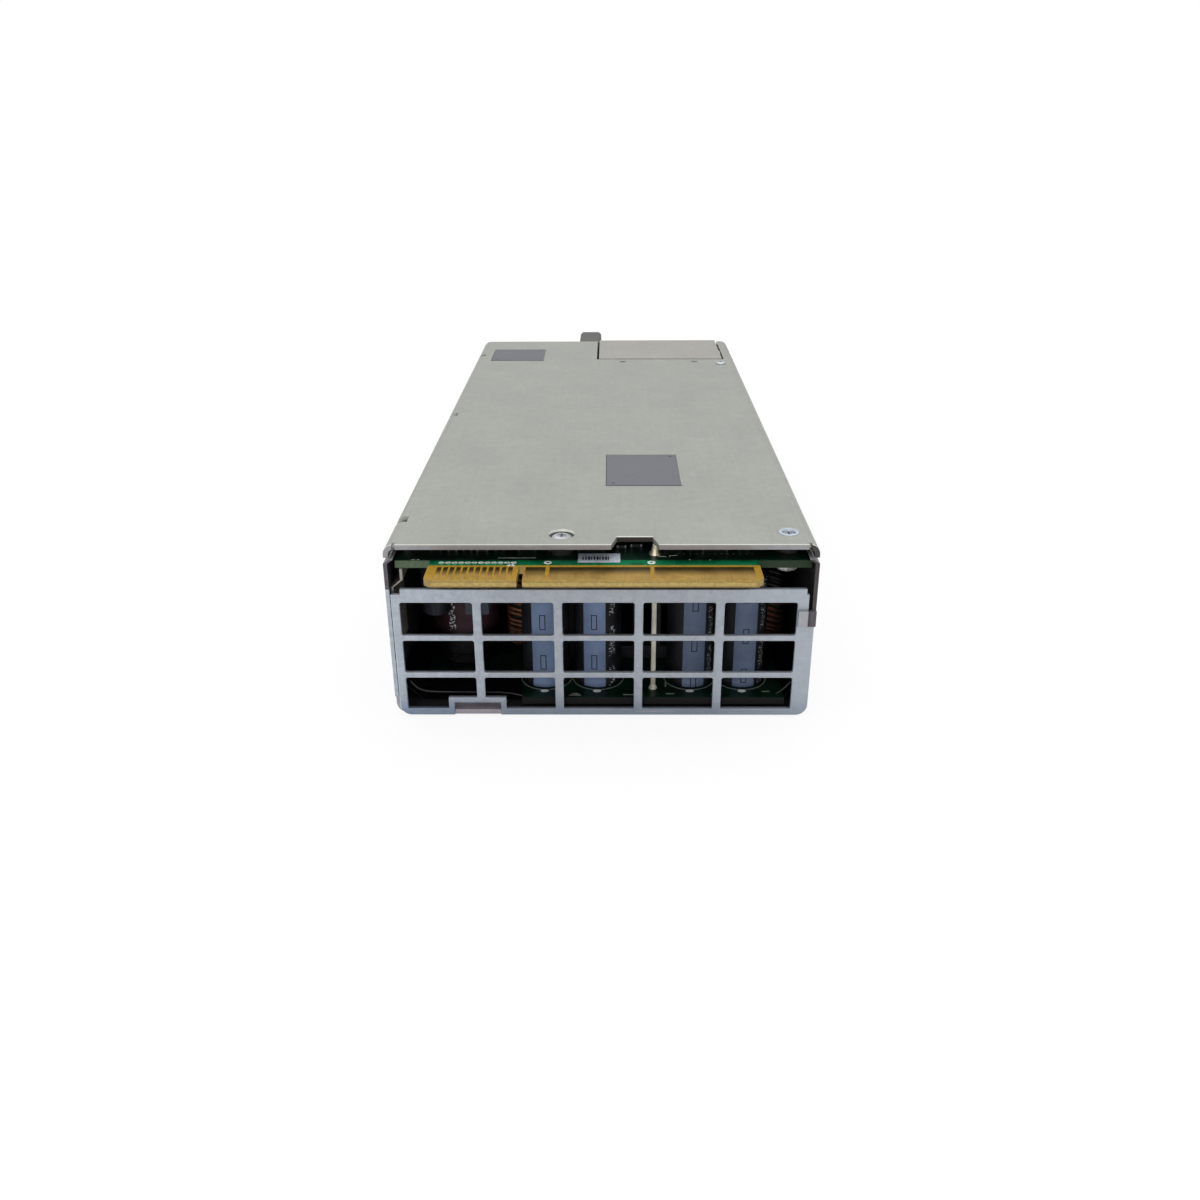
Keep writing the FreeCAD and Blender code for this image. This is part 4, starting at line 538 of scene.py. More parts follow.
# name, light and dark tone; then metallic and roughness for zinc, roughness for bright metal and ink
LID = zinc("lid_zinc", "b7b9b2", "a1a39d", 0.5, 0.47, cloud=0.14, grain=0.5)
LIP = zinc("lid_lip_zinc", "a6a6a8", "7c7c7e", 0.5, 0.45)
# painted highlight: near-white zinc on the lid's bent front edge, on the rear slopes of the left dimples and
# on the notch's top
EDGE_HIGHLIGHT = zinc("painted_highlight_edge", "f8f7ee", "d6d5ce", 0.2, 0.4, cloud=0.4)
# painted shade: dark zinc on the dimples' bottoms and back-facing slopes, and on the ring round the other
# sunk screw
DIMPLE_SHADE = zinc("dimple_painted_shade", "545654", "363836", 0.3, 0.5)
# painted light: a lighter, warmer copy of the lid zinc for the flap over the fan
FLAP_LIT = zinc("flap_zinc_painted_light", "bab8b2", "a6a49e", 0.5, 0.46, cloud=0.14, grain=0.5)
# painted light and shade on the plate: bluish and brightest at its left end, greyer from x -20, a lighter
# blue-grey toward its right end, darker and bluer at its foot
PLATE = zinc("plate_zinc", "b6bdc6", "929aa6", 0.5, 0.44, cloud=0.12, grain=0.7, patch=400, painted_shades=[("Z",
             5, 1.5, 0.6, "5c7290"), ("X", -28, -20, 0.3, "8e9092"), ("X", 22, 32, 0.35, "a8b0ba")])
# painted highlight: near-white blue zinc down the plate's left edge and in a ring round the right lid screw
PLATE_HIGHLIGHT = zinc("plate_painted_highlight", "e2ecf8", "bac6d6", 0.4, 0.4)
TRAY = zinc("tray_zinc", "acadb2", "88888f", 0.6, patch=80)
TRAY_EDGE = zinc("tray_cut_edge", "646068", "444046", 0.4, 0.5, patch=300)
TAB = zinc("key_tab_zinc", "aca4ae", "827c86", 0.05, 0.5, patch=200)
# painted shade: near-black zinc on the lid's and tray's edges and gaps that lie in shadow
EDGE_SHADOW = zinc("edge_painted_shade", "4e4646", "282424", 0.2, 0.5, patch=300)
NUT_TIN = zinc("nut_tin", "f6f6ee", "787874", 0.2, 0.3, cloud=0.9, patch=500)
# painted shade: near-black zinc inside the tray walls and on its floor
TRAY_INSIDE_SHADE = zinc("tray_inside_painted_shade", "2c2c30", "1a1a1d", 0.2, 0.6, patch=120)
HANDLE = zinc("handle_grey_metal", "70706e", "525250", 0.3, 0.55)
STEEL = bright_metal("plated_steel", "e2e6ec", "969aa0", 0.3, metallic=0.6)
DULL_STEEL = bright_metal("dull_steel", "a0a0a0", "646568", 0.35)
TIN = bright_metal("tin_plate", "b0aca4", "76726c", 0.36, metallic=0.7)
PIN_TIN = bright_metal("pin_tin", "e2ded0", "aaa696", 0.4, metallic=0.25)
SOLDER = bright_metal("solder", "faf2da", "aaa088", 0.2, streak=(300, 300, 300), metallic=0.8)
# painted shade: the contacts darken toward their back ends
GOLD = bright_metal("contact_gold", "dab260", "8e6e32", 0.3, streak=(2200, 60, 300), metallic=0.55,
                    painted_shades=[("Y", FRONT - 5.6, FRONT - 2.6, 0.93, "2e260e")])
BARE_COPPER = bright_metal("enamelled_copper", "e09254", "8c4a26", 0.3, metallic=0.5)
# painted shade: the left choke's wire turns near black above z 24-27 and darker toward its left side
COPPER = bright_metal("left_copper_painted_shade", "e68e4c", "804222", 0.32, metallic=0.45, painted_shades=[("Z", 24,
                      27, 0.97, "0c0705"), ("X", -15, -18.5, 0.85, "140b08")])
# painted shade: a darker copy of the copper for the right choke, near black above z 20-22.5 and below z
# 10-12, darker toward its right side
RIGHT_COPPER_SHADE = bright_metal("right_copper_painted_shade", "c4704c", "542c1c", 0.4, metallic=0.35, painted_shades=[("Z", 20,
                          22.5, 0.98, "080605"), ("Z", 12, 10, 0.95, "080605"), ("X", CHOKE_LEFT + 2.5,
                          CHOKE_LEFT + 6.5, 0.92, "0a0706")])
ALUMINIUM = bright_metal("heat_sink_aluminium", "969aa0", "60646a", 0.4, streak=(600, 40, 600))
# a darker grey aluminium for the rectifier sink
DARK_SINK = bright_metal("dark_grey_sink", "3a3c42", "1e1f23", 0.45, streak=(600, 600, 60), metallic=0.4)
MASK = solder_mask("output_board_mask", "085c3a", "0e7048")
# painted shade: a near-black copy of the output board's mask, for the part under the lid
MASK_SHADE = solder_mask("output_board_mask_painted_shade", "0a1e16", "0e281c", gloss=0.3)
TRACE = solder_mask("masked_trace", "249260", "2c9e68")
# painted shade: a near-black copy of the green mask for the main and control boards
MAIN_MASK_SHADE = solder_mask("main_board_mask_painted_shade", "061a11", "0a2418", gloss=0.25)
EDGE = plain_ink("bare_laminate", "54664e", 0.6)
# painted shade: a darker copy of the bare laminate for the right half of the board's edges
LAMINATE_EDGE_SHADE = plain_ink("bare_laminate_painted_shade", "1e321a", 0.6)
TONGUE = plain_ink("gilded_laminate", "ae882a", 0.4)
TONGUE_BEVEL = plain_ink("tongue_bevel", "a08644", 0.4)
TONGUE_FACE = plain_ink("tongue_face", "baa060", 0.5)
# painted shade: the main board's edges drawn near black
MAIN_EDGE_SHADE = plain_ink("main_board_edge", "090908", 0.8)
SILK = plain_ink("white_ink", "e8ece8")
DIM_SILK = plain_ink("dim_white_ink", "969c98")
PAPER = plain_ink("blank_paper", "ced6e4")
STICKER = plain_ink("sticker_grey", "707178", 0.5, speck=0.05)
STICKER_PALE = plain_ink("sticker_pale_edge", "c8c0b2", 0.5)
STICKER_LINE = plain_ink("sticker_outline", "343542", 0.5)
CAP = sleeve("capacitor_sleeve", "0f1014", "6e80a0", "0e1014")
# painted shade: the same sleeve with a dimmer stripe and fainter flecks, for the two right-hand cans
CAP_SHADED = sleeve("capacitor_sleeve_painted_shade", "0f1013", "5c6a82", "0e1014", flecks=0.35)
BULK = sleeve("bulk_sleeve", "101116", "6e7482", "101116", half=6, pitch=12)
# painted shade: the brown sleeve turns near black below z 11-13
BROWN = sleeve("brown_sleeve", "2c1b1f", "301d21", "301d21", half=2.8, flecks=0.95, painted_shades=[("Z", 13, 11,
               0.97, "050404")])
SMALL_SLEEVE = sleeve("small_sleeve", "131418", "20242c", "14161b", half=1.6, pitch=3.1, flecks=0.35)
BLACK = moulded("black_plastic", "1a1a1c")
FAN_BLACK = moulded("fan_plastic", "1e1e21", 0.42, coat=0.1)
FILM = moulded("black_film", "0a0a0d", 0.3, grain=200, depth=0.08, gloss=0.3)
# painted highlight: a lighter grey for the film's front edge
FILM_HIGHLIGHT = moulded("film_edge_painted_highlight", "2c2e34", 0.4, grain=200)
PALE_BLOCK = moulded("pale_block", "323a4a")
CORE = moulded("powder_core", "2e423c", 0.6, grain=1600, depth=0.06)
FERRITE = moulded("ferrite", "2c2c2f", 0.62, grain=1400, depth=0.05)
TAPE = moulded("winding_tape", "b09634", 0.35, grain=120, depth=0.1)
BLUE_BOX = moulded("film_box_grey", "76849c", 0.4)
YELLOW_BOX = moulded("film_box_yellow", "b6922e", 0.4)
CERAMIC = moulded("white_ceramic", "d6d4ca", 0.35)
WHITE_PLASTIC = moulded("white_plastic", "d6d2c6", 0.45)
TERRACOTTA = moulded("touch_terracotta", "b05230", 0.42)
CLEAR = moulded("light_pipe_green", "96be96", 0.15, coat=0.6)
RUBBER = moulded("lead_sleeve", "181819", 0.6)


# ---- sheet metal ----

def lid():
    """The lid: a painted highlight along its bent edge above its duller front lip, painted shade on its dark
    edges and in its dimples, and a lighter, warmer flap over the fan as painted light.
    """
    item = dressed("top_cover", LID, 0.18, "cover_steel", 3)
    rim_y = LID_LOW.y + 0.36
    sliced(item, "y", rim_y)
    fan_low, fan_high = box("fan_frame")
    dimples = [middle for _, _, middle, _ in parts("board_nuts")]
    under = LID_TOP - 1.4
    notch = [spot for spot in corners(item)
             if rim_y + 2 < spot.y < rim_y + 12 and -4 < spot.x < 30 and spot.z > LID_TOP - 0.3
             and all((spot.xy - dimple.xy).length > 4 for dimple in dimples)]
    notch_rear = max(spot.y for spot in notch) + 0.5
    notch_low, notch_high = min(spot.x for spot in notch), max(spot.x for spot in notch)
    sliced(item, "y", notch_rear)
    sliced(item, "x", notch_low, notch_high)
    side, lip_corner, corner = 40, 40.2, 40.5

    def choose(centre, normal):
        # the front strip: painted shade on its lowest faces, a painted highlight on its upward faces
        if centre.y < rim_y:
            if centre.z < (LID_TOP - 0.5 if centre.x > lip_corner else under - 0.3):
                return EDGE_SHADOW
            return EDGE_HIGHLIGHT if normal.z > 0.2 else LIP
        # painted shade on the right flange's inner faces and on the side flanges' front ends
        if centre.x > side and normal.x < -0.3:
            return EDGE_SHADOW
        if centre.x > corner and centre.y < rim_y + 8 and normal.y < -0.3:
            return EDGE_SHADOW if centre.z < LID_TOP - 0.8 else LID
        for spot in dimples:
            if (centre.xy - spot.xy).length < 3.6:
                # painted shade on a dimple's bottom and back-facing slopes, a painted highlight on a left
                # dimple's front-facing slope
                if centre.z < under or (normal.y > 0.15 and normal.z < 0.985):
                    return DIMPLE_SHADE
                return EDGE_HIGHLIGHT if normal.y < -0.15 and 0.1 < normal.z < 0.985 and spot.x < 0 else LID
        # the notch: a painted highlight on its upward faces, painted shade on the rest
        if notch_low < centre.x < notch_high and centre.y < notch_rear:
            return EDGE_HIGHLIGHT if normal.z > 0.5 else EDGE_SHADOW
        # the flap over the fan: the lighter, warmer zinc as painted light
        over_fan = fan_low.x - 3 < centre.x < fan_high.x + 3 and centre.y > LID_HIGH.y - 28
        return FLAP_LIT if over_fan and centre.z > LID_TOP - 0.1 else LID

    finish_faces(item, (LID, LIP, EDGE_HIGHLIGHT, FLAP_LIT, DIMPLE_SHADE, EDGE_SHADOW), choose)


def plate():
    """The windowed plate, with a painted highlight down its left edge."""
    item = dressed("inlet_grille", PLATE, 0.16, "grille_steel", 3)
    edge = PLATE_LOW.x + 0.3
    finish_faces(item, (PLATE, PLATE_HIGHLIGHT), lambda centre, normal: PLATE_HIGHLIGHT if (
        centre.x < edge and normal.x < -0.2 and normal.y < -0.1) else PLATE)


def tray():
    """The tray: zinc outside, with painted shade on the faces that the lid and the film keep in shadow, on
    the right wall's front edge above the hook and in the hook's gap.
    """
    item = dressed("chassis_tray", TRAY, 0.1, "chassis_steel")
    inner = PLATE_HIGH.x - 1.2
    floor_top = box("insulator_film")[0].z + 1.1
    face_end, curl_start = 41.35, 41.8
    sliced(item, "x", face_end, curl_start)
    sliced(item, "z", PLATE_HIGH.z)
    hook_top = max(spot.z for spot in corners(item) if spot.y < FRONT - 0.5 and spot.x > face_end)

    def choose(centre, normal):
        # painted shade inside the walls and on the floor under the film
        inward = centre.x * normal.x < 0 and abs(normal.x) > 0.5 and centre.y > FRONT + 0.2
        if inward or (normal.z > 0.5 and centre.z < floor_top and abs(centre.x) < inner):
            return TRAY_INSIDE_SHADE
        # the hook: painted shade in a strip between its face and its curl
        if centre.y < FRONT - 0.1 and centre.x > face_end:
            return TRAY_EDGE if centre.x > curl_start else EDGE_SHADOW
        if normal.y < -0.6 and centre.y < FRONT + 8 and abs(centre.x) > 39.5:
            if centre.x < 0:
                return TRAY_EDGE if centre.z > PLATE_HIGH.z else PLATE
            # painted shade on the right wall's front edge above the hook
            return EDGE_SHADOW if centre.z > hook_top else TRAY
        return TRAY

    finish_faces(item, (TRAY, TRAY_INSIDE_SHADE, TRAY_EDGE, EDGE_SHADOW, PLATE), choose)


def key_tab():
    """The floor's short tab that shows in the key notch of the plate."""
    left = PLATE_LOW.x + 10.5
    right = left + 11.5
    lip = block((left, FRONT + 0.3, 0.05), (right, FRONT + 0.95, 1.15), 0.1)
    shelf = block((left, FRONT + 0.6, 0.85), (right, FRONT + 4.4, 1.15), 0.08)
    settle([lip, shelf], "key_tab", TAB)


def sheet_metal():
    key_tab()
    lid()
    tray()
    plate()
    dressed("rear_panel", TRAY, 0.1, "chassis_steel")
    dressed("side_bracket", TIN, 0.1, "tin_plate")
    dressed("pull_handle", HANDLE, 0.35, "handle_grey", 3)


def screw_head(centre, radius, height, axis="z"):
    """A pan head with a cross recess."""
    head = turned((0, 0, 0), [(radius * wide, height * up) for wide, up in (
        (0.96, 0), (1, 0.12), (1, 0.45), (0.9, 0.75), (0.66, 0.94), (0.3, 1))])
    arm, blade = radius * 0.42, radius * 0.12
    for x, y in ((arm, blade), (blade, arm)):
        cut(head, block((-x, -y, height * 0.35), (x, y, height * 2)))
    return moved(head, centre, TURNED[axis])


def collar(middle, radius, steps):
    """A ring on the lid from (distance outside a radius, height over the lid) pairs."""
    return turned((*middle.xy, LID_TOP), [(radius + out, up) for out, up in steps],
                  closed=True, sides=64)


def cover_screws():
    """The three lid screws and their shanks, a dished washer and a ring of painted highlight at the right
    one, a ring of painted shadow round the other sunk one, and the two nuts under the board.
    """
    pieces, washers, shadow_rings, highlight_rings = [], [], [], []
    for low, high, middle, radius in parts("cover_screws"):
        sunk = high.z < LID_TOP + 0.1
        right = sunk and middle.x > 0
        height = 1.5 if sunk else 0.7
        neck = high.z - height
        wide = radius * (0.86 if right else 1.05 if sunk else 0.8)
        pieces.append(screw_head((*middle.xy, neck), wide, height))
        shank = [(1.35, low.z), (1.45, low.z + 0.3), (1.45, neck)]
        pieces.append(turned((*middle.xy, 0), shank, sides=24))
        if right:
            washers.append(collar(middle, wide, ((0.05, -0.6), (0.9, -0.6), (1.7, -0.02), (1.4, 0.05),
                                                 (0.3, 0.03), (0.05, -0.15))))
            # a ring of painted highlight round the right screw's head
            highlight_rings.append(collar(middle, wide, ((-0.4, -0.3), (0.2, -0.3), (0.2, 0.06), (0.05, 0.12),
                                              (-0.3, 0.08))))
        elif sunk:
            # a ring of painted shadow round the other sunk screw's head
            shadow_rings.append(turned((*middle.xy, neck), [
                (wide * 0.8, 0.2), (wide + 0.2, 0.2), (wide + 0.32, 0.9), (wide + 0.3, 1.28),
                (wide + 0.1, 1.35), (wide * 0.9, 1)], closed=True, sides=64))
    settle(pieces, "lid_screws", STEEL, "cover_screws")
    settle(washers, "screw_washer", LID)
    settle(highlight_rings, "right_screw_painted_highlight", PLATE_HIGHLIGHT)
    settle(shadow_rings, "front_screw_painted_shadow", DIMPLE_SHADE)
    bore = 1.6
    nuts = [turned((*middle.xy, 0), [
        (bore, low.z), (radius * 0.8, low.z), (radius * 0.95, low.z + 0.5), (radius, high.z), (bore, high.z)],
        closed=True, sides=24, edge=0.1) for low, high, middle, radius in parts("board_nuts")]
    settle(nuts, "clinch_nuts", NUT_TIN, "board_nuts")


def stickers():
    """Two plain stickers: dark outline in front and at the left, pale behind, two small dots."""
    sheets, lines, pale = [], [], []
    rim, inset = 0.14, 1.7
    for low, high, _, _ in parts("cover_labels"):
        top = low.z + 0.1
        sheets.append(block(low, (high.x, high.y, top), 0.04))
        for border, start, end in ((lines, low.xy, (high.x, low.y + rim)),
                                   (lines, low.xy, (low.x + rim, high.y)),
                                   (pale, (low.x, high.y - rim), high.xy),
                                   (pale, (high.x - rim, low.y), high.xy)):
            border.append(block((*start, top - 0.02), (*end, top + 0.015), 0.01, 1))
        for x, y in ((high.x - inset, high.y - inset), (low.x + inset, low.y + inset)):
            lines.append(turned((x, y, top - 0.02), [(0.35, 0), (0.3, 0.04)], sides=16))
    settle(sheets, "stickers", STICKER, "cover_labels")
    settle(lines, "sticker_lines", STICKER_LINE)
    settle(pale, "sticker_pale_lines", STICKER_PALE)


# ---- output board ----

def output_board():
    """The board: green mask in front with painted shade on the mask under the lid, bare edges with painted
    shade on the right half, and the gilded tongue.
    """
    item = dressed("output_board", EDGE, 0.06, "output_board_green", 1)
    tongue_end, shade_start = FRONT - 0.4, FRONT + 2.2
    sliced(item, "y", tongue_end, shade_start)

    def choose(centre, normal):
        flat = abs(normal.z) > 0.9
        if centre.y < tongue_end:
            if normal.y < -0.95:
                return TONGUE_FACE
            return TONGUE if flat else TONGUE_BEVEL
        # painted shade: the mask behind shade_start takes its darker copy
        if flat:
            return MASK if centre.y < shade_start else MASK_SHADE
        # painted shade: the right half's bare edges take a darker copy of the laminate
        return EDGE if centre.x < 0 else LAMINATE_EDGE_SHADE

    finish_faces(item, (EDGE, MASK, MASK_SHADE, TONGUE, TONGUE_BEVEL, TONGUE_FACE, LAMINATE_EDGE_SHADE), choose)
    for node in ("signal_contacts", "power_contacts"):
        dressed(node, GOLD, 0.02, "contact_gold", 1)


def ink_bar(low_x, low_y, high_x, high_y, level=BOARD_TOP, thickness=0.03):
    return block((low_x, low_y, level - 0.01), (high_x, high_y, level + thickness), 0.01, 1)


def ink_ring(x, y, level, outer, inner, sides):
    return hoop((x, y, 0), outer, inner, level - 0.01, level + 0.03, sides)


def ink_marks(level, *marks):
    """Bars from rows of x, distance behind the plate, width and depth."""
    return [ink_bar(x - wide / 2, FRONT + y - deep / 2, x + wide / 2, FRONT + y + deep / 2, level)
            for x, y, wide, deep in marks]


def board_ink():
    """White marks: a row of open rings above the fingers, a cross at the key, and small frames."""
    row = FRONT + 0.95
    fingers = [box("signal_contacts")[0].x + 0.45 + 1.3 * index for index in range(12)]
    pieces = []
    for index, x in enumerate(fingers):
        ring = ink_ring(0, 0, BOARD_TOP, 0.56, 0.2 if index % 3 else 0.12, 20)
        pieces.append(moved(ring, (x, row, 0), Matrix.Diagonal((1.08, 0.86, 1, 1))))
    for turn in (38, -38):
        pieces.append(moved(ink_bar(-0.95, -0.2, 0.95, 0.2), (-17.7, FRONT - 0.2, 0), spin(turn, "Z")))
    pieces += [ink_ring(x, row, BOARD_TOP, 0.8, 0.34, 24) for x in (-10.5, 9.95)]
    pieces += ink_marks(BOARD_TOP, (-37.4, 2.5, 0.7, 0.25), (-36.4, 2.5, 0.5, 0.25), (-16.8, 3.4, 7.6, 0.16),
                        (12.2, 4.1, 1.6, 0.2), (14.5, 4.6, 1.5, 0.22), (13.7, 4.2, 0.2, 0.8),
                        (17.6, 2.4, 0.3, 0.2), (21.6, 2.3, 0.3, 0.2))
    settle(pieces, "board_marks", SILK, smooth=0)
    dots = ink_marks(BOARD_TOP, *[(15.375 + 1.25 * index, 5.5, 0.35, 0.2) for index in range(13)])
    settle(dots, "board_pad_row", DIM_SILK, smooth=0)
    traces = []
    for x in fingers:
        traces += [ink_bar(x + 0.09, FRONT - 0.35, x + 0.41, FRONT + 0.35),
                   ink_ring(x + 0.25, FRONT + 0.25, BOARD_TOP, 0.34, 0.12, 12)]
    settle(traces, "finger_traces", TRACE, smooth=0)


def board_label():
    """A small blank strip of paper on the board, with plain bars across it."""
    top = BOARD_TOP + 0.06
    near = FRONT + 1
    paper = block((-4.6, near, BOARD_TOP), (3.8, near + 4.6, top), 0.02, 1)
    settle(paper, "blank_strip", PAPER)
    bars = [ink_bar(x, near + 1.2, x + 0.24 + extra, near + 2.9, top, 0.02)
            for x, extra in ((-3.7 + 0.56 * index, 0.08 * (index % 3)) for index in range(10))]
    settle(bars, "strip_bars", STICKER_LINE, smooth=0)


def bus_pin():
    """The tinned pin with a cone of solder where it comes through the board."""
    low, high, middle, _ = span("bus_pin")
    x, y = middle.xy
    shank = block((x - 0.5, y - 0.5, low.z), (x + 0.5, y + 0.5, high.z), 0.18, 3)
    foot = turned((x, y, low.z), [(0.95, 0), (0.85, 0.25), (0.65, 0.7), (0.5, 1.1)], sides=32)
    settle([shank, foot], "current_pin", PIN_TIN, "bus_pin")
    cone = turned((x, y, BOARD_TOP), [(1.25, 0), (1.15, 0.3), (0.85, 0.8), (0.7, 1.5), (0.62, 2), (0.3, 2.3)],
                  sides=32)
    settle(cone, "solder_cone", SOLDER)


# x, distance behind the plate, width and depth of each small part on the output board
CHIPS = [(-30, 7, 1.6, 0.8), (-27, 7.4, 1.6, 0.8), (-24, 7, 2, 1.2), (-20.5, 7.6, 1.6, 0.8),
         (-15, 8, 3.2, 1.6), (-9.5, 8, 2, 1.2), (-2, 9.4, 4.9, 3.9), (4.2, 8.4, 1.6, 0.8),
         (7.2, 9.2, 2, 1.2), (14.5, 8.2, 3.2, 1.6), (19, 8.4, 2, 1.2), (23, 8.2, 4.9, 3.9),
         (29, 8, 2, 1.2), (-33.5, 8, 2, 1.2), (-12, 14, 6.4, 5), (6, 15, 5, 4),
         (20, 16, 6.4, 5), (-26, 15, 5, 4)]


def board_parts():
    """Small parts with soldered ends, behind the lid's edge and in its notch."""
    bodies, ends = [], []
    for x, y, wide, deep in CHIPS:
        near, far = FRONT + y - deep / 2, FRONT + y + deep / 2
        top = BOARD_TOP + (0.75 if wide < 3 else 1.3)
        bodies.append(block((x - wide / 2, near, BOARD_TOP), (x + wide / 2, far, top), 0.08))
        for tip in (x - wide / 2, x + wide / 2):
            ends.append(block((tip - 0.3, near - 0.02, BOARD_TOP - 0.02),
                              (tip + 0.12, far + 0.02, top + 0.02), 0.08))
    settle(bodies, "board_chips", BLACK)
    settle(ends, "board_chip_ends", DULL_STEEL)


# ---- main board and the parts on it ----

def wrap_map(item, x, y, shift, level):
    """A map round a standing can, in metres: round it from a stripe near its -Y side, and up it."""
    mesh = item.data
    for old in list(mesh.uv_layers):
        mesh.uv_layers.remove(old)
    layer = mesh.uv_layers.new(name="wrap")
    x, y = x * MM, y * MM
    for face in mesh.polygons:
        middle = math.atan2(face.center.x - x, y - face.center.y)
        for index in face.loop_indices:
            spot = mesh.vertices[mesh.loops[index].vertex_index].co
            angle = math.atan2(spot.x - x, y - spot.y)
            angle -= math.tau * round((angle - middle) / math.tau)
            radius = max(math.hypot(spot.x - x, spot.y - y), 1 * MM)
            layer.data[index].uv = (angle * radius - shift * MM, spot.z - level * MM)


def standing_capacitor(node, name, finish, shift, level):
    """A capacitor with its crimp, rounded shoulder and bare vented top."""
    low, high, middle, r = span(node)
    x, y = middle.xy
    foot, top = low.z, high.z
    can = turned((x, y, 0), [
        (r * 0.82, foot + 0.15), (r * 0.95, foot + 0.2), (r, foot + 0.6), (r, foot + 1.5),
        (r * 0.93, foot + 2), (r * 0.93, foot + 2.3), (r, foot + 2.9), (r, top - 0.9), (r * 0.985, top - 0.4),
        (r * 0.95, top - 0.1), (r * 0.9, top), (r * 0.84, top), (r * 0.83, top - 0.25)], sides=72)
    wrap_map(can, x, y, shift, level)
    settle(can, name, finish, node=node, smooth=40)
    vent = turned((x, y, 0), [(r * 0.84, top - 0.3), (r * 0.84, top - 0.22), (r * 0.8, top - 0.15)])
    for turn in (20, 110):
        groove = block((-r * 0.55, -0.12, top - 0.22), (r * 0.55, 0.12, top + 1))
        cut(vent, moved(groove, (x, y, 0), spin(turn, "Z")))
    settle(vent, name + "_top", DULL_STEEL)


def capacitors():
    """Four tall cans, each turned a little differently, and the wider one at the left."""
    # the two right-hand cans take the sleeve whose dimmer stripe is painted shade
    cans = ((CAP, -0.35, 19), (CAP, -0.75, 19), (CAP_SHADED, 0.55, 13.9), (CAP_SHADED, 0.15, 15.8))
    for index, (finish, shift, level) in enumerate(cans, 1):
        standing_capacitor(f"output_capacitor_{index}", f"output_can_{index}", finish, shift, level)
    # the filter can's sleeve carries painted shade toward its foot
    standing_capacitor("filter_capacitor", "filter_can", BROWN, -6, 20)


def hanging_parts():
    """A small can and a pale moulded part under the left end of the upper board."""
    under = BOARD_LOW.z
    x, y, r, low = -34.7, FRONT + 10.2, 3, under - 13.2
    can = turned((x, y, 0), [
        (r * 0.7, low + 0.35), (r * 0.8, low), (r * 0.93, low + 0.1), (r, low + 0.5), (r, under - 2),
        (r * 0.92, under - 1.6), (r, under - 1.1), (r, under - 0.4), (r * 0.9, under - 0.15)])
    wrap_map(can, x, y, -0.4, 24)
    settle(can, "small_capacitor", SMALL_SLEEVE, smooth=40)
    left = -28.5
    body = block((left, FRONT + 7.2, under - 13), (left + 5.2, FRONT + 12.5, under - 0.4), 0.5)
    legs = [block((left + 2.4, y, under - 0.6), (left + 2.8, y + 0.4, under), 0.08)
            for y in (FRONT + 8.6, FRONT + 10.8)]
    settle(body, "small_film_capacitor", PALE_BLOCK)
    settle(legs, "small_film_capacitor_legs", TIN)


def main_board():
    """The lower board with its marks: a thin ring round each can's foot and a lozenge before it."""
    # the main board's mask and edges: near-black copies as painted shade
    item = dressed("main_board", MAIN_EDGE_SHADE, 0.06, "main_board_green", 1)
    finish_faces(item, (MAIN_EDGE_SHADE, MAIN_MASK_SHADE),
                 lambda centre, normal: MAIN_MASK_SHADE if abs(normal.z) > 0.9 else MAIN_EDGE_SHADE)
    pieces, lozenges = [], []
    for index in range(1, 5):
        _, _, middle, r = span(f"output_capacitor_{index}")
        x, y = middle.xy
        pieces.append(ink_ring(x, y, MAIN_TOP, r + 0.5, r + 0.32, 64))
        mark = turned((0, 0, 0), [(0.75, MAIN_TOP - 0.01), (0.7, MAIN_TOP + 0.04)], sides=8)
        lozenges.append(moved(mark, (x - 0.2, y - r - 0.9, 0), Matrix.Diagonal((1.25, 0.8, 1, 1))))
    pieces += ink_marks(MAIN_TOP, (-5.6, 2.4, 2.4, 0.3), (-5.6, 3.1, 1.4, 0.3), (6, 2.6, 3, 0.3),
                        (14.4, 3, 1.8, 0.3), (24, 2.6, 2.2, 0.3), (34.6, 4, 1.6, 0.3),
                        (13.6, 7, 0.3, 2), (24.2, 6, 0.3, 2.4))
    settle(pieces, "main_board_marks", DIM_SILK, smooth=0)
    settle(lozenges, "main_board_lozenges", SILK, smooth=0)


def choke(prefix, turns, seed, finish):
    """A wound ring: the smooth powder core and round wire turns close round it."""
    low, high, centre, half = span(prefix + "_core")
    wound_low, wound_high = box(prefix + "_winding")
    outer = (high.y - low.y) / 2
    inner = outer * 0.46
    ring = hoop((0, 0, 0), outer, inner, -half, half, 64, 0.9)
    settle(moved(ring, centre, TURNED["x"]), prefix + "_ring", CORE, prefix + "_core")
    layer = (wound_high.x - wound_low.x) / 2 - half
    thick = layer * 0.82
    reach = half + layer - thick / 2
    low_r, high_r = inner - thick / 2, outer + layer - thick / 2
    bpy.ops.mesh.primitive_plane_add(size=1, location=(0, 0, (low_r + high_r) / 2 * MM),
                                     rotation=(math.radians(90), 0, 0))
    bpy.context.object.scale = (reach * 2 * MM, (high_r - low_r) * MM, 1)
    edit(applied(), "VERT")
    bpy.ops.mesh.bevel(offset=1.3 * MM, segments=4, affect="VERTICES")
    bpy.ops.mesh.delete(type="ONLY_FACE")
    done()
    bpy.ops.object.convert(target="CURVE")
    outline = bpy.context.object.data
    outline.bevel_depth = thick / 2 * MM
    outline.bevel_resolution = 2
    bpy.ops.object.convert(target="MESH")
    loop = bpy.context.object
    pieces = []
    for index in range(turns):
        lean = math.sin(index * 2.7 + seed) * 0.7
        turn = spin(30 + 300 * index / (turns - 1) + lean, "X") @ spin(-17, "Z")
        pieces.append(moved(placed("turn", loop.data.copy()), centre, turn))
    bpy.data.objects.remove(loop)
    settle(pieces, prefix + "_wire", finish, prefix + "_winding")


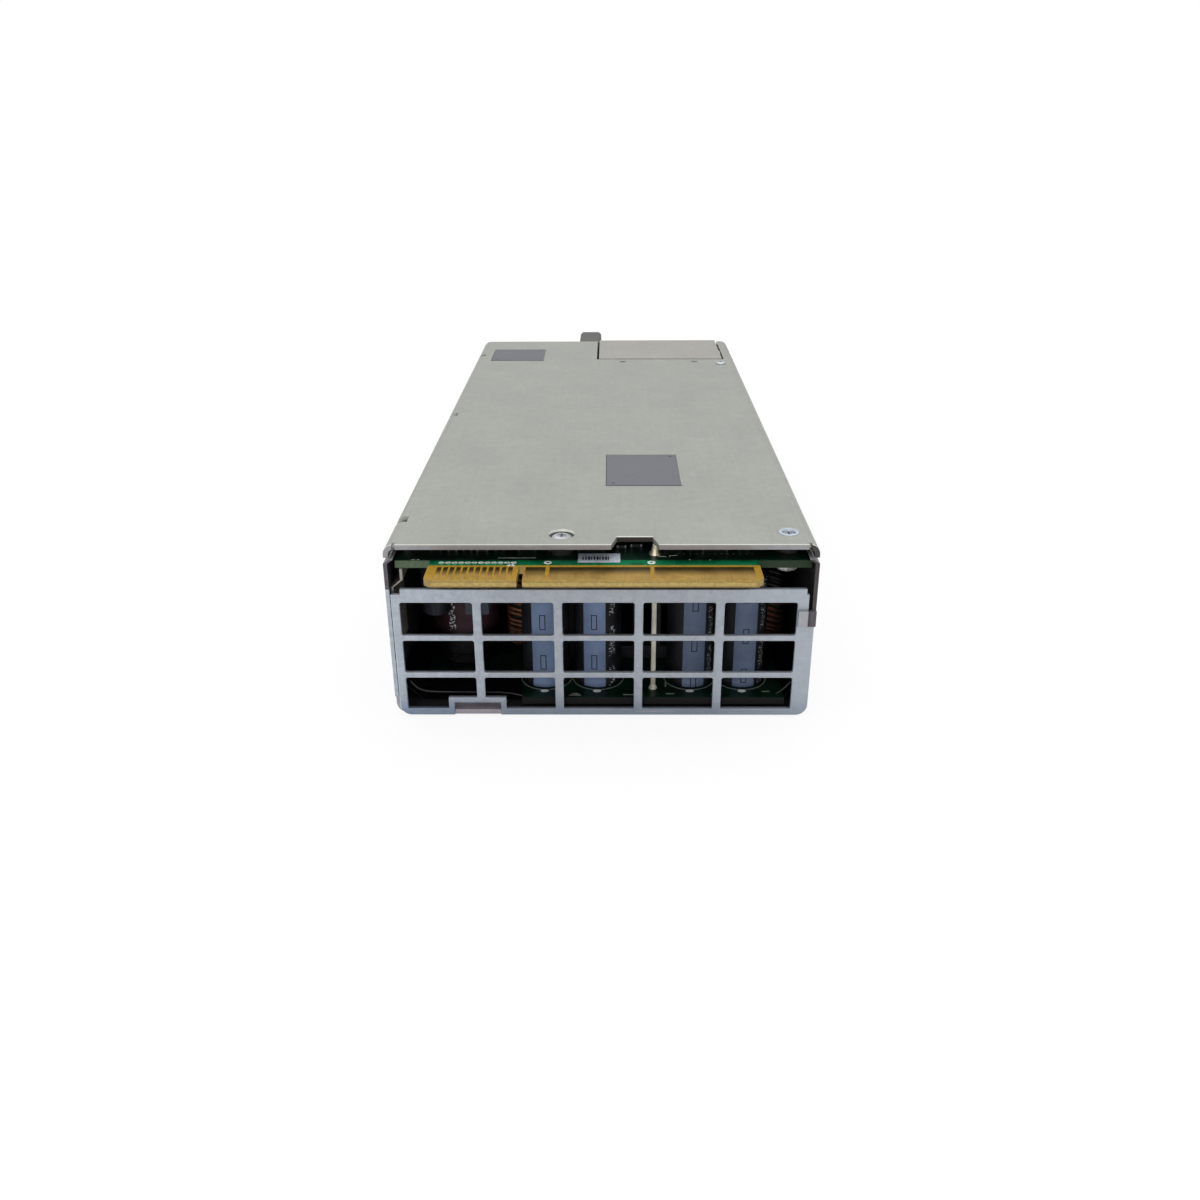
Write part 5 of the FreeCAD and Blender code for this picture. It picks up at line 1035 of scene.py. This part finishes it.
def chokes():
    # the left and right chokes' copper carries painted shade
    for row in (("left_choke", 50, 0.3, COPPER), ("right_choke", 50, 1.1, RIGHT_COPPER_SHADE),
                ("boost_choke", 44, 2, BARE_COPPER), ("line_choke", 36, 2.9, BARE_COPPER)):
        choke(*row)


def board_blocks():
    """The potted and cored parts, with their edges rounded."""
    for row in (("rectifier_heatsink", DARK_SINK, 0.15, "sink_aluminium"),
                ("primary_heatsink", ALUMINIUM, 0.2, "sink_aluminium"),
                ("output_transistors", BLACK, 0.12, "transistor_black"),
                ("power_transistors", BLACK, 0.12, "transistor_black"),
                ("transformer_core", FERRITE, 0.4, "ferrite"),
                ("transformer_winding", TAPE, 0.6, "winding_tape", 3),
                ("resonant_capacitor", BLUE_BOX, 0.5, "film_capacitor_grey", 3),
                ("line_capacitor", YELLOW_BOX, 0.5, "box_yellow", 3),
                ("inrush_relay", BLACK, 0.5, "relay_black", 3),
                ("line_fuse", CERAMIC, 0.1, "fuse_ceramic"),
                ("fuse_clips", TIN, 0.08, "tin_plate"),
                # the control board also takes the main board's painted-shade mask
                ("control_board", MAIN_MASK_SHADE, 0.06, "main_board_green"),
                ("insulator_film", FILM, 0.05, "black_film"),
                ("board_screws", STEEL, 0.15, "screw_steel")):
        dressed(*row)


def film_lip():
    """The film's loose front edge, which lifts at the left and curls up to the right wall, in a lighter grey
    as a painted highlight.
    """
    y = box("insulator_film")[0].y - 1.4
    profile = [(-40.2, 6.4), (-39.3, 5), (-38, 4.2), (-36.2, 3.8), (-32, 3.7), (-26.7, 3.7), (-20, 3.6),
               (-17, 2.9), (-14.5, 2), (-11, 1.5), (0, 1.25), (8.5, 1.3), (20.8, 1.5), (32.3, 2.1),
               (36, 2.9), (38, 4.2), (39.6, 6.2)]
    line = wire([(x, y, z) for x, z in profile], 0.34, smooth=True)
    settle(line, "film_front_edge", FILM_HIGHLIGHT)


def bulk_can():
    """The lying reservoir capacitor with its crimp and vented end."""
    low, high, middle, r = span("bulk_capacitor")
    near, far = low.y, high.y
    can = turned((0, 0, 0), [
        (r * 0.86, near + 0.2), (r * 0.98, near + 0.3), (r, near + 1), (r, near + 3), (r * 0.94, near + 3.8),
        (r * 0.94, near + 4.2), (r, near + 5), (r, far - 1.2), (r * 0.97, far - 0.3), (r * 0.93, far),
        (r * 0.9, far - 0.3)], sides=96)
    wrap_map(can, 0, 0, 0, near)
    moved(can, (middle.x, 0, middle.z), TURNED["y"])
    settle(can, "bulk_can", BULK, "bulk_capacitor")


# ---- handle end ----

def inlet():
    dressed("inlet_housing", BLACK, 0.3, "inlet_black", 3)
    dressed("inlet_blades", STEEL, 0.25, "blade_nickel")
    low, high, middle, r = span("light_pipe")
    pipe = turned((middle.x, 0, middle.z), [(r, low.y), (r, high.y - 0.5), (r * 0.8, high.y - 0.15),
                                            (r * 0.4, high.y)], axis="y", sides=32)
    settle(pipe, "light_pin", CLEAR, "light_pipe")
    dressed("handle_screws", STEEL, 0.2, "screw_steel")


def wire_ring(centre, radius, thickness, count):
    """A closed wire ring that faces along Y."""
    steps = [math.tau * index / count for index in range(count)]
    return wire([centre + Vector((math.cos(angle), 0, math.sin(angle))) * radius for angle in steps],
                thickness, closed=True)


def fan_guard():
    """Welded wire rings on crossed bars, with an eye at each screw."""
    low, high, centre, _ = span("fan_guard")
    thick = high.y - low.y
    reach, eye_radius, bar_end = 15.25, 2.1, 7.6
    pieces = [wire_ring(centre, radius, thick * 0.95, 72) for radius in (16, 12, 8)]
    for x, z in ((-1, -1), (-1, 1), (1, -1), (1, 1)):
        eye = centre + Vector((x, 0, z)) * reach
        inward = (centre - eye).normalized()
        pieces.append(wire_ring(eye, eye_radius, thick * 0.95, 24))
        pieces.append(wire([eye + inward * eye_radius, centre - inward * bar_end], thick * 0.9))
    settle(pieces, "guard_wires", STEEL, "fan_guard")


def fan_screws():
    pieces = []
    for low, high, middle, _ in parts("fan_screws"):
        pieces.append(screw_head((middle.x, high.y - 1.4, middle.z), 2.4, 1.4, "y"))
        shank = [(1.25, low.y), (1.25, high.y - 1.3)]
        pieces.append(turned((middle.x, 0, middle.z), shank, axis="y", sides=16))
    settle(pieces, "fan_fixings", STEEL, "fan_screws")


def fan_rotor():
    """The hub cup and seven twisted blades."""
    low, high, middle, _ = span("fan_rotor")
    hub, tip, depth, count, steps = 8.5, 15.6, high.y - low.y, 7, 6
    cup = turned((0, 0, 0), [
        (7.3, depth), (hub, depth), (hub, 1.6), (hub - 0.5, 0.4), (hub - 1.6, 0), (2.6, 0), (2.4, 0.4),
        (0.3, 0.4), (0.3, 1.2), (7.3, 1.2)], sides=64, closed=True)
    blade = block((-3.6, -0.45, hub - 0.6), (3.6, 0.45, hub))
    edit(blade)
    bpy.ops.mesh.select_all(action="DESELECT")
    done()
    for face in blade.data.polygons:
        face.select = face.normal.z > 0.9
    bpy.ops.object.mode_set(mode="EDIT")
    grow = (tip - hub) / steps
    for index in range(steps):
        bpy.ops.mesh.extrude_region_move(TRANSFORM_OT_translate={"value": (0, 0, grow * MM)})
        pivot = (0, 0, (hub + grow * (index + 1)) * MM)
        bpy.ops.transform.rotate(value=math.radians(2.6), orient_axis="Z", center_override=pivot)
        bpy.ops.transform.resize(value=(1.07, 0.96, 1), center_override=pivot)
    done()
    rounded(blade, 0.2)
    moved(cup, (middle.x, low.y, middle.z), TURNED["y"])
    pitch = spin(46, "Z")
    blades = [moved(placed("blade", blade.data.copy()), middle, spin(360 / count * index, "Y") @ pitch)
              for index in range(count)]
    bpy.data.objects.remove(blade)
    settle([cup] + blades, "rotor_blades", FAN_BLACK, "fan_rotor", "rotor")


def fan():
    dressed("fan_frame", FAN_BLACK, 0.25, "fan_black")
    fan_guard()
    fan_screws()
    fan_rotor()
    for node, finish in (("fan_stator", FAN_BLACK), ("fan_shaft", DULL_STEEL)):
        materials = frame["nodes"][node].data.materials
        materials.clear()
        materials.append(finish)
    low, high, middle, _ = span("fan_lead")
    strands = []
    for angle in (0, 120, 240):
        side = spin(-angle, "Y") @ Vector((0.6, 0, 0))
        strands.append(turned((middle.x + side.x, 0, middle.z + side.z), [(0.58, low.y), (0.58, high.y)],
                              axis="y", sides=16))
    settle(strands, "fan_strands", RUBBER, "fan_lead")
    dressed("fan_plug", WHITE_PLASTIC, 0.3, "plug_white")


def latch():
    dressed("release_latch", DULL_STEEL, 0.15, "spring_steel", 2, "latch")
    dressed("thumb_pad", TERRACOTTA, 0.35, "thumb_orange", 3, "latch")
    dressed("latch_bracket", TIN, 0.12, "tin_plate")
    dressed("latch_pin", STEEL, 0.12, "spring_steel")
    low, high = box("latch_spring")
    x, y = span("latch_pin")[2].xy
    coil_low, coil_high = low.z + 0.3, low.z + 2.4
    per_turn, count, radius = 24, 84, 1.72
    spots = [(x + radius, low.y + 0.4, coil_low)]
    for index in range(count + 1):
        angle = math.tau * index / per_turn
        lift = (coil_high - coil_low) * index / count
        spots.append((x + radius * math.cos(angle), y + radius * math.sin(angle), coil_low + lift))
    spots += [(low.x + 0.3, high.y - 0.3, z) for z in (coil_high, high.z - 0.1)]
    settle(wire(spots, 0.56), "spring_wire", DULL_STEEL, "latch_spring")


# ---- floor, light and camera ----

def stage():
    """A pale floor, in metres, that keeps the shadow near the object and is plain white farther out."""
    bpy.ops.mesh.primitive_plane_add(size=6, location=(0, 0.5, -0.0004))
    floor = bpy.context.object
    floor.name = "floor"
    bpy.ops.object.transform_apply(location=True)
    material, shader, place, _ = new_material("floor_white")
    tree = material.node_tree
    feed(shader, {"Base Color": rgb("fafafa"), "Roughness": 0.9, "Specular IOR Level": 0})
    away = add(tree, "VectorMath", {0: place}, operation="LENGTH")["Value"]
    white = ramp(away, 0.16, 0.34, 0.88, 1)
    seen = add(tree, "LightPath")["Is Camera Ray"]
    glow = add(tree, "Emission", {"Color": (1, 1, 1, 1), "Strength": 1})[0]
    share = add(tree, "MixShader", {0: times(seen, white), 1: shader.outputs[0], 2: glow})[0]
    output = [node for node in tree.nodes if node.type == "OUTPUT_MATERIAL"][0]
    tree.links.new(share, output.inputs[0])
    floor.data.materials.append(material)


def world():
    """Even studio light from all round, white behind the object."""
    item = bpy.data.worlds.new("studio")
    bpy.context.scene.world = item
    item.use_nodes = True
    tree = item.node_tree
    tree.nodes.clear()
    height = add(tree, "SeparateXYZ", {0: add(tree, "TexCoord")["Generated"]})[2]
    rays = add(tree, "LightPath")
    seen = maths("MAXIMUM", rays["Is Camera Ray"], rays["Is Transmission Ray"])
    strength = add(tree, "Mix", {0: seen, 2: ramp(height, -0.1, 0.9, 0.42, 0.78), 3: 1})[0]
    background = add(tree, "Background", {0: (1, 1, 1, 1), 1: strength})[0]
    output = tree.nodes.new("ShaderNodeOutputWorld")
    tree.links.new(background, output.inputs[0])


def lamp(name, place, target, size, power):
    data = bpy.data.lights.new(name, "AREA")
    data.shape = "RECTANGLE"
    data.size, data.size_y = size
    data.energy = power
    item = placed(name, data)
    item.location = place
    item.rotation_euler = (Vector(target) - Vector(place)).to_track_quat("-Z", "Y").to_euler()


def lamps():
    """Places, targets and sizes in metres."""
    lamp("overhead", (0, -0.1, 1.2), (0, 0, 0), (1.6, 1.6), 9)
    lamp("front", (-0.3, -1.3, 0.5), (0, 0, 0.02), (1.2, 0.7), 3)


def camera():
    """Looks down on the card-edge end from in front, a hair to the left of square."""
    data = bpy.data.cameras.new("camera")
    data.sensor_width = 36
    data.lens = 32.98
    data.clip_start = 0.01
    item = placed("camera", data)
    pitch, yaw, roll = math.radians(24.757), math.radians(0.650), math.radians(0.282)
    forward = Vector((-math.sin(yaw) * math.cos(pitch), math.cos(yaw) * math.cos(pitch), -math.sin(pitch)))
    item.rotation_mode = "QUATERNION"
    turn = Matrix.Rotation(roll, 3, forward)
    item.rotation_quaternion = (turn @ forward.to_track_quat("-Z", "Y").to_matrix()).to_quaternion()
    item.location = Vector((2.03, FRONT - 199.13, 118.35)) * MM
    bpy.context.scene.camera = item


for make in (sheet_metal, cover_screws, stickers, output_board, board_ink, board_label, bus_pin, board_parts,
             capacitors, hanging_parts, main_board, chokes, board_blocks, film_lip, bulk_can, inlet, fan,
             latch, stage, world, lamps, camera):
    make()
bpy.context.scene.view_settings.view_transform = "Standard"
